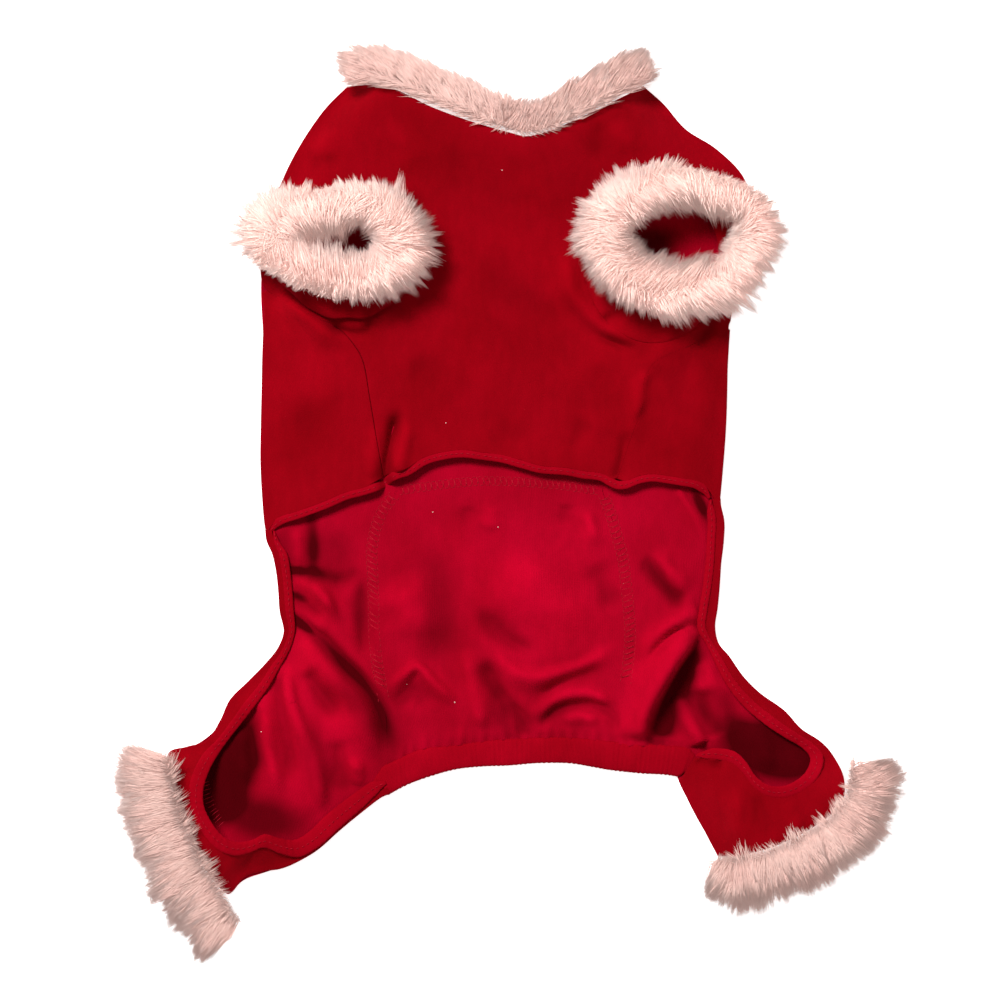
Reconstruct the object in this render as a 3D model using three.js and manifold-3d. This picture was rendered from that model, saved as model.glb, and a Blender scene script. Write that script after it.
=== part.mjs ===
// Dog pyjama suit with plush trims, laid flat on its back with the belly side up.
// Millimetres. +Z is up from the surface it lies on, +Y points to the neck, +X to the right-hand side
// as seen from above. The origin is the middle of the whole piece's box, on the surface.
import * as THREE from 'three';
import Module from 'manifold-3d';
import { mergeVertices } from 'three/addons/utils/BufferGeometryUtils.js';

// ---------------------------------------------------------------- driving dimensions
const clothWall = 1.2; // velour, pile and backing together
const seamGap = 0.3; // space left between two pieces at a seam
const farMiddle = clothWall / 2; // middle of the far layer, which lies on the surface
const nearMiddle = 1.5 * clothWall + seamGap; // middle of the near layer where it lies on the far one
const edgeRound = 11; // distance over which the near layer rises from the side folds
const bellyAir = 5.2; // air kept under the belly
const neckAir = 9.8; // extra height under the neck, where the plush trim keeps the layers apart
const neckAirReach = 30;
const legAir = 10.5; // extra height of the near half of each hind leg
const legAirReach = 44;
const bellyBandWidth = 4.4; // turned hem across the belly
const bandThickness = 2.6;
const bandLift = 0.4; // a turned hem stands a little above the wall that it edges
const sleeveBase = 7.4; // usual height of the belly's face, from which the sleeve rings' rise is counted
// Flat trims: half width and thickness of each strip, stations along it and round its ends.
const neckPlush = { half: 9.2, thick: 8.6, along: 16, turns: 5 };
const legPlush = { half: 13.4, thick: 10, along: 12, turns: 5 };
const plushSmoothing = 6; // the strips turn with the line over this distance
const plushSlot = 5.2; // opening left between the near and the far strip of a flat trim
const sleevePlush = { height: 22, stations: 28 };
const colours = { face: 0x8e0016, wrongSide: 0xa80022, band: 0x9c001b, plush: 0xecd6cc };

// A table is a list of rows with named columns.
function table(columns, rows) {
  return rows.map((row) => Object.fromEntries(columns.map((name, index) => [name, row[index]])));
}

// ---------------------------------------------------------------- outlines, as tables
// Side folds of the body and of the upper edge of each hind leg, from the shoulder down.
const foldLeft = table(['x', 'y'], [
  [-80.5, 207.5], [-99.5, 185.5], [-112, 163], [-119, 145], [-123, 125], [-123.8, 113],
  [-121.8, 96], [-122.8, 76], [-123.8, 31], [-123.3, 10], [-120.5, -10], [-121, -17], [-117.3, -27],
  [-115.8, -35], [-114.3, -48], [-112, -65], [-115.3, -74], [-121.8, -82], [-139.3, -99.3],
  [-150.8, -119.8], [-170, -124.5],
]);
const foldRight = table(['x', 'y'], [
  [67.5, 207.5], [88.5, 186], [104, 176], [113.5, 170.5], [118.3, 160], [119, 147], [115.5, 127],
  [112, 105], [110, 84], [109.3, 60], [108.6, 41], [107, 22], [105.4, 5], [107.6, -8], [106, -29],
  [104.8, -49], [102.8, -62], [103.7, -69], [109.8, -77.3], [125.3, -95.8], [137.8, -104.8],
  [155.8, -120.3], [161.5, -127],
]);
// Lower folds of the hind legs, from the rump to the cuff.
const legFoldLeft = table(['x', 'y'], [
  [-60.5, -146.5], [-84.3, -163.8], [-95, -173.8], [-109.8, -182.5], [-122.8, -185.3],
  [-132.8, -189], [-139, -197.5],
]);
const legFoldRight = table(['x', 'y'], [
  [82.5, -136], [87.8, -146.8], [92.8, -156.8], [99.8, -168.3], [105, -178.5],
]);
const foldLines = [foldLeft, foldRight, legFoldLeft, legFoldRight];

// Neck edge of the cloth, from left to right.
const neckEdge = table(['x', 'y'], [
  [-80.5, 207.5], [-70, 207.6], [-60, 206.5], [-50, 202], [-39, 196.5], [-26, 191.5], [-13, 187.2],
  [0, 183.6], [9, 181.6], [20, 184.2], [33, 189.6], [44, 194.8], [55, 200.5], [67.5, 207.5],
]);

// Belly: the left and right end of each row, from the neck to the hem.
const bellyRows = table(['leftX', 'leftY', 'rightX', 'rightY'], [
  [-80.5, 207.5, 67.5, 207.5], [-91, 197, 78, 198], [-99.5, 185.5, 88.5, 186],
  [-106.5, 174, 104, 176], [-112, 163, 118, 161], [-119, 145, 119, 147], [-123, 125, 115.5, 127],
  [-123.8, 113, 112, 105], [-120.5, 105.5, 109.5, 87], [-100, 93.5, 91, 78], [-86, 87, 74, 70.5],
  [-78, 79.5, 67.5, 61], [-72.5, 70, 66.5, 48], [-69.3, 52.8, 61.5, 33], [-66.3, 34.8, 57.5, 20],
  [-62.6, 12.6, 54.2, 11.6],
]);
const bellySeamStart = 8; // row where the side pieces begin
// Folded edge of the near layer, from the left fold across the belly to the right fold.
const bellyHem = table(['x', 'y'], [
  [-117.6, -16.4], [-113.3, -11.8], [-103.3, -8.3], [-89.8, -3.3], [-80.3, 0.8], [-70, 3.6],
  [-62.6, 6.4], [-55.8, 10.8], [-49, 13.2], [-40.8, 18.3], [-33, 20.6], [-23.3, 21.8],
  [-14.3, 20.8], [-3.8, 19.3], [6, 16.6], [15.8, 14], [28.3, 13], [37.3, 11.3], [45.3, 10.3],
  [50, 7.7], [54.2, 6], [59.3, 6.4], [65.5, 8.8], [71.8, 9.8], [79.8, 8.8], [85.8, 7.8],
  [92.3, 6.6], [96.3, 4], [98.6, 0.4],
]);
const hemLeftCorner = 6; // where the left side seam meets the hem
const hemRightCorner = 20; // where the right side seam meets the hem

// Side pieces of the belly: the fold end and the seam end of each row.
const flankLeftFold = table(['x', 'y'], [
  [-123.2, 104.5], [-121.8, 96], [-122.2, 88], [-122.8, 76], [-123.2, 58], [-123.6, 39],
  [-123.8, 18], [-122.2, -8.6],
]);
const flankRightFold = table(['x', 'y'], [
  [110.2, 86], [109.8, 78], [109.4, 68], [109.2, 56], [108.7, 42], [107.8, 29], [106.7, 17],
  [105.4, 3],
]);

// Back, hidden under the belly: princess seams from the armholes to the waist seam.
const backRows = table(['leftX', 'leftY', 'rightX', 'rightY'], [
  [-80.5, 207.5, 67.5, 207.5], [-91, 197, 78, 198], [-99.5, 185.5, 88.5, 186],
  [-106.5, 174, 104, 176], [-112, 163, 118, 161], [-119, 145, 119, 147], [-117, 131.5, 109, 131.5],
  [-94.4, 104.7, 90, 104.7], [-77.4, 74.7, 72, 74.7], [-65.4, 44.7, 60, 44.7],
  [-57.6, 19.7, 50.4, 19.7], [-56, 5.2, 47, 5.2],
]);
const backSeamStart = 6;
const waistSeam = table(['x', 'y'], [
  [-56, 5.2], [-47, 6.6], [-37.8, 7.9], [-27, 9.2], [-14.3, 10.2], [-4, 10.2], [5.8, 9.8], [16, 9],
  [25.8, 8.2], [36, 6.8], [47, 5.2],
]);
// Seat: seams to the side pieces, from the waist seam to the rump band.
const seatRows = table(['leftX', 'leftY', 'rightX', 'rightY'], [
  [-56.2, 4.2, 47.2, 4.2], [-62.5, -4, 51, -6], [-66.2, -13, 54.2, -17.5], [-68.3, -24, 57.3, -29],
  [-67.9, -36, 58.6, -41], [-67.4, -50, 60, -54], [-67.2, -64, 60.7, -67], [-66, -78, 59.8, -80],
  [-64, -90, 58, -93], [-61.8, -102, 56.6, -104], [-61, -114, 55.2, -113.5],
  [-60.8, -132.6, 54, -120.6],
]);
const rumpTop = table(['x', 'y'], [
  [-60.8, -132.6], [-51, -127.2], [-42, -123.8], [-28.5, -122.6], [-14.5, -120.6], [0, -119.2],
  [15, -118.6], [28, -118.4], [40, -119.2], [54, -120.6],
]);
// Far side pieces: the seam end and the fold end of each row, from the armhole down to the hind cuff.
const sideBackLeftFold = table(['x', 'y'], [
  [-121.2, 131], [-123.8, 108], [-122.8, 78], [-123.6, 46], [-123.5, 16], [-122.2, -3],
  [-120.5, -12], [-119.4, -22], [-116.5, -32], [-115, -42], [-114, -54], [-112.2, -65],
  [-116, -75.5], [-124, -84], [-132, -92], [-140, -101], [-147, -114], [-158, -122], [-170, -125],
  [-170.5, -137], [-166, -152], [-158.6, -168], [-149.5, -184], [-140.2, -196.5],
]);
const sideBackLeftEnd = table(['x', 'y'], [
  [-62.5, -141.5], [-68, -150], [-79, -158.6], [-91.5, -169.5], [-105, -179.8], [-118, -184.2],
  [-132, -188.6],
]);
const sideBackRightFold = table(['x', 'y'], [
  [116.3, 131.5], [112, 106], [109.6, 76], [108.8, 44], [106.8, 19], [105.7, 2], [107.6, -8],
  [107, -20], [106, -30], [105.4, -42], [104.2, -54], [102.9, -63.5], [105.5, -72], [112, -80.5],
  [121, -91], [130, -99.5], [138.5, -105.5], [147, -114.5], [160, -124], [167, -136], [166, -149],
  [155.5, -161], [137.5, -169.4], [115, -177.4],
]);
const sideBackRightEnd = table(['x', 'y'], [
  [68, -122.2], [82.5, -124.2], [84.5, -138], [89.5, -149], [95.5, -160], [100.4, -169.5],
  [104.6, -177.4],
]);

// Near half of each hind leg and the strip along the side of the opening: the fold or cuff end of each
// row, the edge of the opening, and the width of the elastic band there.
const legFrontLeft = table(['foldX', 'foldY', 'edgeX', 'edgeY', 'band'], [
  [-120.6, -19.6, -114, -20.6, 3.4], [-117.8, -26, -110.5, -26.2, 4.4],
  [-115.9, -34.5, -109, -34.2, 4.4], [-114.8, -44, -108, -43.4, 4.4],
  [-114, -55, -107.2, -54.6, 4.4], [-112, -65, -106.6, -64.4, 3.4], [-115, -73.4, -109, -73.4, 3.8],
  [-121.8, -81.8, -114, -82.6, 4.6], [-130, -90, -119.5, -92.4, 5.2],
  [-139.3, -99.3, -126, -101.4, 6], [-143.8, -109.3, -132.3, -109.6, 6],
  [-150.8, -119.8, -139.6, -118.8, 6.4], [-161, -122.8, -145.2, -126.8, 6.8],
  [-169.8, -125.6, -149.2, -134.6, 7.2], [-170.4, -138, -151.7, -143.4, 7.4],
  [-165.4, -153.6, -151.1, -152, 7.4], [-157.8, -169.4, -147.4, -159.6, 7.4],
  [-149, -184.8, -142.4, -166, 7.4], [-140.2, -196.2, -135.4, -169.4, 7],
  [-131.8, -187.6, -127.8, -168.4, 6.6], [-122.8, -185, -121.4, -165.6, 6.4],
  [-113.4, -183.4, -114.8, -167.6, 6.4], [-104.5, -179.2, -107, -168.8, 6.2],
  [-95.4, -173.6, -100, -165, 6], [-84.3, -163.8, -91, -156.4, 6],
  [-72.8, -154.4, -78.8, -146.8, 6], [-64, -147.8, -68, -139.6, 6],
]);
const legFrontRight = table(['foldX', 'foldY', 'edgeX', 'edgeY', 'band'], [
  [105.8, -2, 98.9, -2.6, 4], [107.5, -10, 99.3, -10, 4.4], [107.2, -20, 98.9, -20, 4.4],
  [105.9, -31, 98.3, -31, 4.4], [105.2, -42, 97, -42, 4.4], [104.2, -53, 95.2, -53, 4.4],
  [102.9, -62.5, 94.2, -63.2, 4.4], [104.6, -71, 98.8, -71.8, 3.8], [109.8, -77.3, 103.2, -81, 4.4],
  [116.8, -87.3, 108.8, -91.6, 5], [125.3, -95.8, 117, -102, 5.6], [137.8, -104.8, 128, -111.4, 6],
  [146, -113.8, 138, -118, 6], [155.8, -120.3, 146.4, -123, 6.4], [161.8, -127, 150.4, -128, 6.8],
  [167, -138, 148.6, -133.6, 7], [165.6, -150.6, 144, -138, 7], [153.6, -160.4, 137, -141.2, 7],
  [139, -168.6, 129.4, -141, 7], [122, -174.8, 122.8, -136.4, 7],
  [107.2, -177.6, 118.2, -129.4, 6.6], [100, -168, 112.6, -124.4, 6.4],
  [92, -154, 104, -122.8, 6.2], [85.4, -139.6, 95.4, -123.6, 6],
]);
// Rump band: its edge on the seat and its outer edge.
const rumpBandRows = table(['topX', 'topY', 'bottomX', 'bottomY'], [
  [-59.8, -133.2, -58.6, -145.4], [-51, -127.6, -49.6, -140.2], [-42, -124.2, -38.8, -136.3],
  [-28.5, -123, -26.3, -132.9], [-14.5, -121, -13.3, -131.5], [0, -119.6, 0.3, -131],
  [15, -119, 15, -129.8], [28, -118.8, 30, -129.9], [40, -119.6, 42, -131.8],
  [54, -121, 53, -133.6], [68, -122.7, 66.6, -135], [81.6, -124.6, 79.6, -135.8],
]);

// Sleeves: rings from the armhole to the cuff, and how closely each follows the belly's height.
const ringColumns = ['rise', 'follow', 'x', 'y', 'halfWidth', 'halfLength'];
const sleeveLeftRings = table(ringColumns, [
  [0, 1, -79.5, 126, 34, 33], [1.8, 1, -79.5, 126, 34, 33], [4.2, 0.8, -81, 123.6, 36.6, 36],
  [6.6, 0.3, -84, 126.5, 37, 28.5], [8.2, 0, -86, 129.5, 36, 20.5],
]);
const sleeveRightRings = table(ringColumns, [
  [0, 1, 72, 119, 34, 40], [1.8, 1, 72, 119, 34, 40], [4.2, 0.8, 73.5, 117.5, 39, 45],
  [6.6, 0.3, 80, 125, 40, 37], [8.2, 0, 84.5, 131.8, 38.5, 28],
]);
const sleevePlushLeft = { x: -86, y: 129.5, halfWidth: 36.2, halfLength: 19, z: 27.6, reach: 14.6 };
const sleevePlushRight = { x: 84.6, y: 131.8, halfWidth: 38.6, halfLength: 27, z: 27.6, reach: 14.6 };

// Middle of each flat plush trim, along the edge it is sewn to.
const neckPlushLine = table(['x', 'y'], [
  [-76.6, 217.4], [-62, 217.9], [-44, 212], [-26, 204.6], [-10, 198], [2, 193.6], [10, 192],
  [18, 194], [32, 200.8], [48, 210], [64.4, 217.4],
]);
const legPlushLeft = table(['x', 'y'], [
  [-184.3, -128], [-184.6, -141], [-180, -157.4], [-171.6, -180], [-161, -199.4], [-149.6, -217.6],
]);
const legPlushRight = table(['x', 'y'], [
  [104, -191.2], [117.7, -191.6], [133.7, -187.6], [150, -180.6], [165.6, -171.6], [178, -158.8],
  [183.9, -146], [184.45, -133.6],
]);

// ---------------------------------------------------------------- largest folds
// Soft ridges of the far layer where the elastic gathers it: both ends, half width and height.
const farFolds = table(['fromX', 'fromY', 'toX', 'toY', 'halfWidth', 'height'], [
  [-101, -40, -86, -50, 6, 3.2], [-99, -60, -70, -92, 7, 6.5], [-103, -84, -78, -132, 7, 5.5],
  [-112, -98, -102, -150, 7, 4.5], [-50, -80, -22, -104, 7, 3.6], [-4, -75, 44, -70, 12, 4.2],
  [0, -98, 12, -112, 6, 3.2], [26, -96, 44, -108, 7, 3], [92, -60, 66, -88, 7, 6.5],
  [84, -88, 62, -112, 8, 5.5], [-22, -30, -6, -60, 14, 3.4], [40, -20, 34, -50, 12, 3],
  [112, -88, 104, -112, 8, 3.4],
]);
// Ridges of the near layer: beside the pleat at the left side seam, and across the belly.
const nearFolds = table(['fromX', 'fromY', 'toX', 'toY', 'halfWidth', 'height'], [
  [-52, 40, -58, 14, 6, 2.2], [28, 104, 62, 66, 8, 2.6], [60, 62, 56, 20, 7, 1.8],
  [-10, 30, 30, 20, 10, 1.2], [18, 132, 26, 92, 9, 2], [-112, 92, -88, 80, 6, 1.4],
]);

// Distance from a point to the stretch between two others, and how far along it the nearest point is.
function stretchDistance(x, y, from, to) {
  const dx = to.x - from.x;
  const dy = to.y - from.y;
  const along = Math.min(1, Math.max(0, ((x - from.x) * dx + (y - from.y) * dy) / (dx * dx + dy * dy)));
  return { along, distance: Math.hypot(x - from.x - along * dx, y - from.y - along * dy) };
}

function lineDistance(x, y, line) {
  const distances = line.slice(1).map((to, index) => stretchDistance(x, y, line[index], to).distance);
  return Math.min(...distances);
}

function bump(distance, reach) {
  return Math.exp(-((distance / reach) ** 2));
}

// 0 on a side fold, rising to 1 inside the piece.
function inside(x, y) {
  const nearest = Math.min(...foldLines.map((line) => lineDistance(x, y, line)));
  return 1 - bump(nearest, edgeRound);
}

function foldHeight(folds, x, y) {
  return folds.reduce((sum, fold) => {
    const from = { x: fold.fromX, y: fold.fromY };
    const to = { x: fold.toX, y: fold.toY };
    return sum + fold.height * bump(stretchDistance(x, y, from, to).distance, fold.halfWidth);
  }, 0);
}

// Middle heights of the two layers.
function farHeight(x, y) {
  const rise = inside(x, y) ** 2;
  return farMiddle + rise * foldHeight(farFolds, x, y);
}

const legMiddles = [{ x: -160, y: -160 }, { x: 140, y: -162 }];

function nearHeight(x, y) {
  const neck = neckAir * bump(lineDistance(x, y, neckEdge), neckAirReach);
  const legShares = legMiddles.map((leg) => bump(Math.hypot(x - leg.x, y - leg.y), legAirReach));
  const legs = legAir * (legShares[0] + legShares[1]);
  return nearMiddle + inside(x, y) * (bellyAir + neck + legs + foldHeight(nearFolds, x, y));
}

// ---------------------------------------------------------------- solids
function closedGeometry(vertices, faces) {
  const geometry = new THREE.BufferGeometry();
  const numbers = vertices.flatMap((vertex) => vertex.toArray());
  geometry.setAttribute('position', new THREE.Float32BufferAttribute(numbers, 3));
  geometry.setIndex(faces.flat());
  return geometry;
}

// A cloth wall on both sides of a net of middle points. A ring net joins its last column to its first.
function clothSolid(net, ring = false, wall = clothWall) {
  const rows = net.length;
  const columns = net[0].length;
  const clamp = (index, count) => Math.min(count - 1, Math.max(0, index));
  const wrap = (column) => (ring ? (column + columns) % columns : clamp(column, columns));
  const normalAt = (row, column) => {
    const below = net[clamp(row + 1, rows)][column];
    const down = new THREE.Vector3().subVectors(below, net[clamp(row - 1, rows)][column]);
    const across = new THREE.Vector3().subVectors(net[row][wrap(column + 1)], net[row][wrap(column - 1)]);
    return across.cross(down).normalize();
  };
  const vertices = [];
  for (const side of [1, -1]) {
    for (let row = 0; row < rows; row += 1) {
      for (let column = 0; column < columns; column += 1) {
        vertices.push(net[row][column].clone().addScaledVector(normalAt(row, column), (side * wall) / 2));
      }
    }
  }
  const last = rows - 1;
  const edge = columns - 1;
  const front = (row, column) => row * columns + wrap(column);
  const back = (row, column) => rows * columns + front(row, column);
  const faces = [];
  const quad = (a, b, c, d) => faces.push([a, b, c], [a, c, d]);
  const cells = ring ? columns : columns - 1;
  for (let row = 0; row < rows - 1; row += 1) {
    for (let column = 0; column < cells; column += 1) {
      quad(front(row, column), front(row, column + 1), front(row + 1, column + 1), front(row + 1, column));
      quad(back(row, column), back(row + 1, column), back(row + 1, column + 1), back(row, column + 1));
    }
  }
  for (let column = 0; column < cells; column += 1) {
    quad(front(0, column), back(0, column), back(0, column + 1), front(0, column + 1));
    quad(front(last, column + 1), back(last, column + 1), back(last, column), front(last, column));
  }
  if (!ring) {
    for (let row = 0; row < rows - 1; row += 1) {
      quad(front(row + 1, 0), back(row + 1, 0), back(row, 0), front(row, 0));
      quad(front(row, edge), back(row, edge), back(row + 1, edge), front(row + 1, edge));
    }
  }
  return outward(closedGeometry(vertices, faces));
}

// Turns every face round when the solid came out inside out.
function outward(geometry) {
  const position = geometry.getAttribute('position');
  const index = geometry.getIndex().array;
  let volume = 0;
  for (let i = 0; i < index.length; i += 3) {
    const [a, b, c] = [0, 1, 2].map((k) => new THREE.Vector3().fromBufferAttribute(position, index[i + k]));
    volume += a.dot(b.cross(c));
  }
  if (volume < 0) {
    for (let i = 0; i < index.length; i += 3) {
      [index[i + 1], index[i + 2]] = [index[i + 2], index[i + 1]];
    }
  }
  return geometry;
}

// Point at a share of the way along a line of points, counted in rows.
function pointAt(line, share) {
  const place = share * (line.length - 1);
  const index = Math.min(line.length - 2, Math.floor(place));
  const rest = place - index;
  return {
    x: line[index].x + (line[index + 1].x - line[index].x) * rest,
    y: line[index].y + (line[index + 1].y - line[index].y) * rest,
  };
}

// Net between a left and a right line with as many rows. Its first and last rows may follow other lines.
function patchNet({ left, right, top, bottom, columns, height }) {
  const last = left.length - 1;
  const first = top ?? [left[0], right[0]];
  const final = bottom ?? [left[last], right[last]];
  return left.map((start, row) => {
    const v = row / last;
    const end = right[row];
    return Array.from({ length: columns + 1 }, (_, column) => {
      const u = column / columns;
      const upper = pointAt(first, u);
      const lower = pointAt(final, u);
      const straight = (axis) => (1 - u) * start[axis] + u * end[axis];
      const bow = (axis) => (1 - v) * (upper[axis] - (1 - u) * left[0][axis] - u * right[0][axis])
        + v * (lower[axis] - (1 - u) * left[last][axis] - u * right[last][axis]);
      const x = straight('x') + bow('x');
      const y = straight('y') + bow('y');
      return new THREE.Vector3(x, y, height(x, y));
    });
  });
}

// One end of each row of a table, as a line.
function side(rows, name) {
  return rows.map((row) => ({ x: row[`${name}X`], y: row[`${name}Y`] }));
}

// The line moved sideways by an amount, to its left when positive.
function beside(line, amount) {
  return line.map((point, index) => {
    const before = line[Math.max(0, index - 1)];
    const after = line[Math.min(line.length - 1, index + 1)];
    const length = Math.hypot(after.x - before.x, after.y - before.y);
    return {
      x: point.x - ((after.y - before.y) / length) * amount,
      y: point.y + ((after.x - before.x) / length) * amount,
    };
  });
}

// A closed tube with an oval section along a closed or open path. Each station has its place, the half
// size along its axis direction and the half size across it.
function ovalTube(stations, { closed, sides = 8, squareness = 2.6 }) {
  const count = stations.length;
  const flatSide = Math.cos(Math.PI / sides);
  const place = (index) => (closed ? (index + count) % count : Math.min(count - 1, Math.max(0, index)));
  const at = (index) => stations[place(index)];
  const vertices = [];
  stations.forEach((station, index) => {
    const tangent = new THREE.Vector3().subVectors(at(index + 1).place, at(index - 1).place).normalize();
    const across = new THREE.Vector3().crossVectors(tangent, station.axis).normalize();
    for (let step = 0; step < sides; step += 1) {
      const angle = (2 * Math.PI * (step + 0.5)) / sides;
      const round = (value) => Math.sign(value) * (Math.abs(value) / flatSide) ** (2 / squareness);
      vertices.push(station.place.clone()
        .addScaledVector(station.axis, station.halfAxis * round(Math.cos(angle)))
        .addScaledVector(across, station.halfAcross * round(Math.sin(angle))));
    }
  });
  const faces = [];
  const node = (station, step) => (station % count) * sides + (step % sides);
  const spans = closed ? count : count - 1;
  for (let index = 0; index < spans; index += 1) {
    for (let step = 0; step < sides; step += 1) {
      faces.push([node(index, step), node(index, step + 1), node(index + 1, step + 1)]);
      faces.push([node(index, step), node(index + 1, step + 1), node(index + 1, step)]);
    }
  }
  if (!closed) {
    for (let step = 1; step < sides - 1; step += 1) {
      faces.push([node(0, 0), node(0, step + 1), node(0, step)]);
      faces.push([node(count - 1, 0), node(count - 1, step), node(count - 1, step + 1)]);
    }
  }
  return outward(closedGeometry(vertices, faces));
}

// ---------------------------------------------------------------- cloth pieces
function bellyGeometry(wasm) {
  const left = side(bellyRows, 'left');
  const right = side(bellyRows, 'right');
  const hem = beside(bellyHem, bellyBandWidth + seamGap).slice(hemLeftCorner, hemRightCorner + 1);
  hem[0] = left[left.length - 1];
  hem[hem.length - 1] = right[right.length - 1];
  const columns = hemRightCorner - hemLeftCorner;
  const net = patchNet({ left, right, top: neckEdge, bottom: hem, columns, height: nearHeight });
  const holes = [sleeveLeftRings[0], sleeveRightRings[0]].map((ring) => armholeCutter(ring));
  return cutAway(wasm, clothSolid(net), holes);
}

// A prism that cuts the armhole, just outside the first ring of the sleeve that is set into it.
function armholeCutter(ring) {
  const margin = clothWall / 2 + 2 * seamGap;
  const outline = new THREE.Shape();
  outline.ellipse(ring.x, ring.y, ring.halfWidth + margin, ring.halfLength + margin, 0, 2 * Math.PI);
  return new THREE.ExtrudeGeometry(outline, { depth: 40, bevelEnabled: false, curveSegments: 12 });
}

function toManifold(wasm, geometry) {
  const plain = geometry.index ? geometry.clone() : geometry;
  plain.deleteAttribute('normal');
  plain.deleteAttribute('uv');
  const merged = mergeVertices(plain, 1e-4);
  return new wasm.Manifold(new wasm.Mesh({
    numProp: 3,
    vertProperties: Float32Array.from(merged.getAttribute('position').array),
    triVerts: Uint32Array.from(merged.getIndex().array),
  }));
}

function cutAway(wasm, geometry, cutters) {
  const cut = (rest, cutter) => rest.subtract(toManifold(wasm, cutter));
  const mesh = cutters.reduce(cut, toManifold(wasm, geometry)).getMesh();
  const result = new THREE.BufferGeometry();
  result.setAttribute('position', new THREE.Float32BufferAttribute(Array.from(mesh.vertProperties), 3));
  result.setIndex(Array.from(mesh.triVerts));
  return result;
}

function flankLeftGeometry() {
  const seam = beside(side(bellyRows, 'left').slice(bellySeamStart), -seamGap);
  const hem = beside(bellyHem, bellyBandWidth + seamGap).slice(0, hemLeftCorner + 1);
  hem[0] = flankLeftFold[flankLeftFold.length - 1];
  hem[hem.length - 1] = seam[seam.length - 1];
  const columns = hem.length - 1;
  const net = patchNet({ left: flankLeftFold, right: seam, bottom: hem, columns, height: nearHeight });
  return clothSolid(net);
}

function flankRightGeometry() {
  const seam = beside(side(bellyRows, 'right').slice(bellySeamStart), seamGap);
  const hem = beside(bellyHem, bellyBandWidth + seamGap).slice(hemRightCorner);
  hem[0] = seam[seam.length - 1];
  hem[hem.length - 1] = flankRightFold[flankRightFold.length - 1];
  const columns = hem.length - 1;
  const net = patchNet({ left: seam, right: flankRightFold, bottom: hem, columns, height: nearHeight });
  return clothSolid(net);
}

function backGeometry() {
  const left = side(backRows, 'left');
  const right = side(backRows, 'right');
  const net = patchNet({ left, right, top: neckEdge, bottom: waistSeam, columns: 12, height: farHeight });
  return clothSolid(net);
}

function seatGeometry() {
  const left = side(seatRows, 'left');
  const right = side(seatRows, 'right');
  const top = beside(waistSeam, -seamGap);
  top[0] = left[0];
  top[top.length - 1] = right[0];
  return clothSolid(patchNet({ left, right, top, bottom: rumpTop, columns: 14, height: farHeight }));
}

function sideBackGeometry(name, fold, end, turn) {
  const princess = side(backRows, name).slice(backSeamStart, -1);
  const seat = side(seatRows, name);
  const seam = [...beside([...princess, ...seat], turn * seamGap), ...end];
  return clothSolid(patchNet({ left: seam, right: fold, columns: 8, height: farHeight }));
}

// Point on a row of the leg tables, at a distance from the edge of the opening.
function fromEdge(row, distance) {
  const share = distance / Math.hypot(row.foldX - row.edgeX, row.foldY - row.edgeY);
  const x = row.edgeX + (row.foldX - row.edgeX) * share;
  const y = row.edgeY + (row.foldY - row.edgeY) * share;
  return { x, y };
}

function legFrontGeometry(rows) {
  const fold = side(rows, 'fold');
  const free = rows.map((row) => fromEdge(row, row.band + seamGap));
  return clothSolid(patchNet({ left: fold, right: free, columns: 3, height: nearHeight }));
}

function sleeveGeometry(rings) {
  const around = 24;
  const net = rings.map((ring) => Array.from({ length: around }, (_, step) => {
    const angle = (2 * Math.PI * step) / around;
    const x = ring.x + ring.halfWidth * Math.cos(angle);
    const y = ring.y + ring.halfLength * Math.sin(angle);
    const base = ring.follow * nearHeight(x, y) + (1 - ring.follow) * sleeveBase;
    return new THREE.Vector3(x, y, base + ring.rise);
  }));
  return clothSolid(net, true);
}

// ---------------------------------------------------------------- elastic bands
function bandStation(x, y, height, axis, halfWidth) {
  const place = new THREE.Vector3(x, y, height);
  return { place, axis, halfAxis: halfWidth, halfAcross: bandThickness / 2 };
}

function legBandGeometry(rows) {
  const stations = rows.map((row) => {
    const { x, y } = fromEdge(row, row.band / 2);
    const axis = new THREE.Vector3(row.foldX - row.edgeX, row.foldY - row.edgeY, 0).normalize();
    return bandStation(x, y, nearHeight(x, y) + bandLift, axis, row.band / 2);
  });
  return ovalTube(stations, { closed: false });
}

function bellyBandGeometry() {
  const middle = beside(bellyHem, bellyBandWidth / 2);
  const stations = middle.map(({ x, y }, index) => {
    const hem = bellyHem[index];
    const axis = new THREE.Vector3(x - hem.x, y - hem.y, 0).normalize();
    return bandStation(x, y, nearHeight(x, y) + bandLift, axis, bellyBandWidth / 2);
  });
  return ovalTube(stations, { closed: false });
}

function rumpBandGeometry() {
  const stations = rumpBandRows.map((row) => {
    const axis = new THREE.Vector3(row.topX - row.bottomX, row.topY - row.bottomY, 0);
    const halfWidth = axis.length() / 2;
    const x = (row.topX + row.bottomX) / 2;
    const y = (row.topY + row.bottomY) / 2;
    return bandStation(x, y, bandThickness / 2, axis.normalize(), halfWidth);
  });
  return ovalTube(stations, { closed: false });
}

// ---------------------------------------------------------------- plush trims
// Point at a distance along a line of points. Past either end the line goes straight on.
function pointAlong(line, distance) {
  let rest = distance;
  let index = 0;
  let length = lengthOf(line[0], line[1]);
  while (rest > length && index < line.length - 2) {
    rest -= length;
    index += 1;
    length = lengthOf(line[index], line[index + 1]);
  }
  const share = rest / length;
  const x = line[index].x + (line[index + 1].x - line[index].x) * share;
  const y = line[index].y + (line[index + 1].y - line[index].y) * share;
  return { x, y };
}

function lengthOf(from, to) {
  return Math.hypot(to.x - from.x, to.y - from.y);
}

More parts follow.
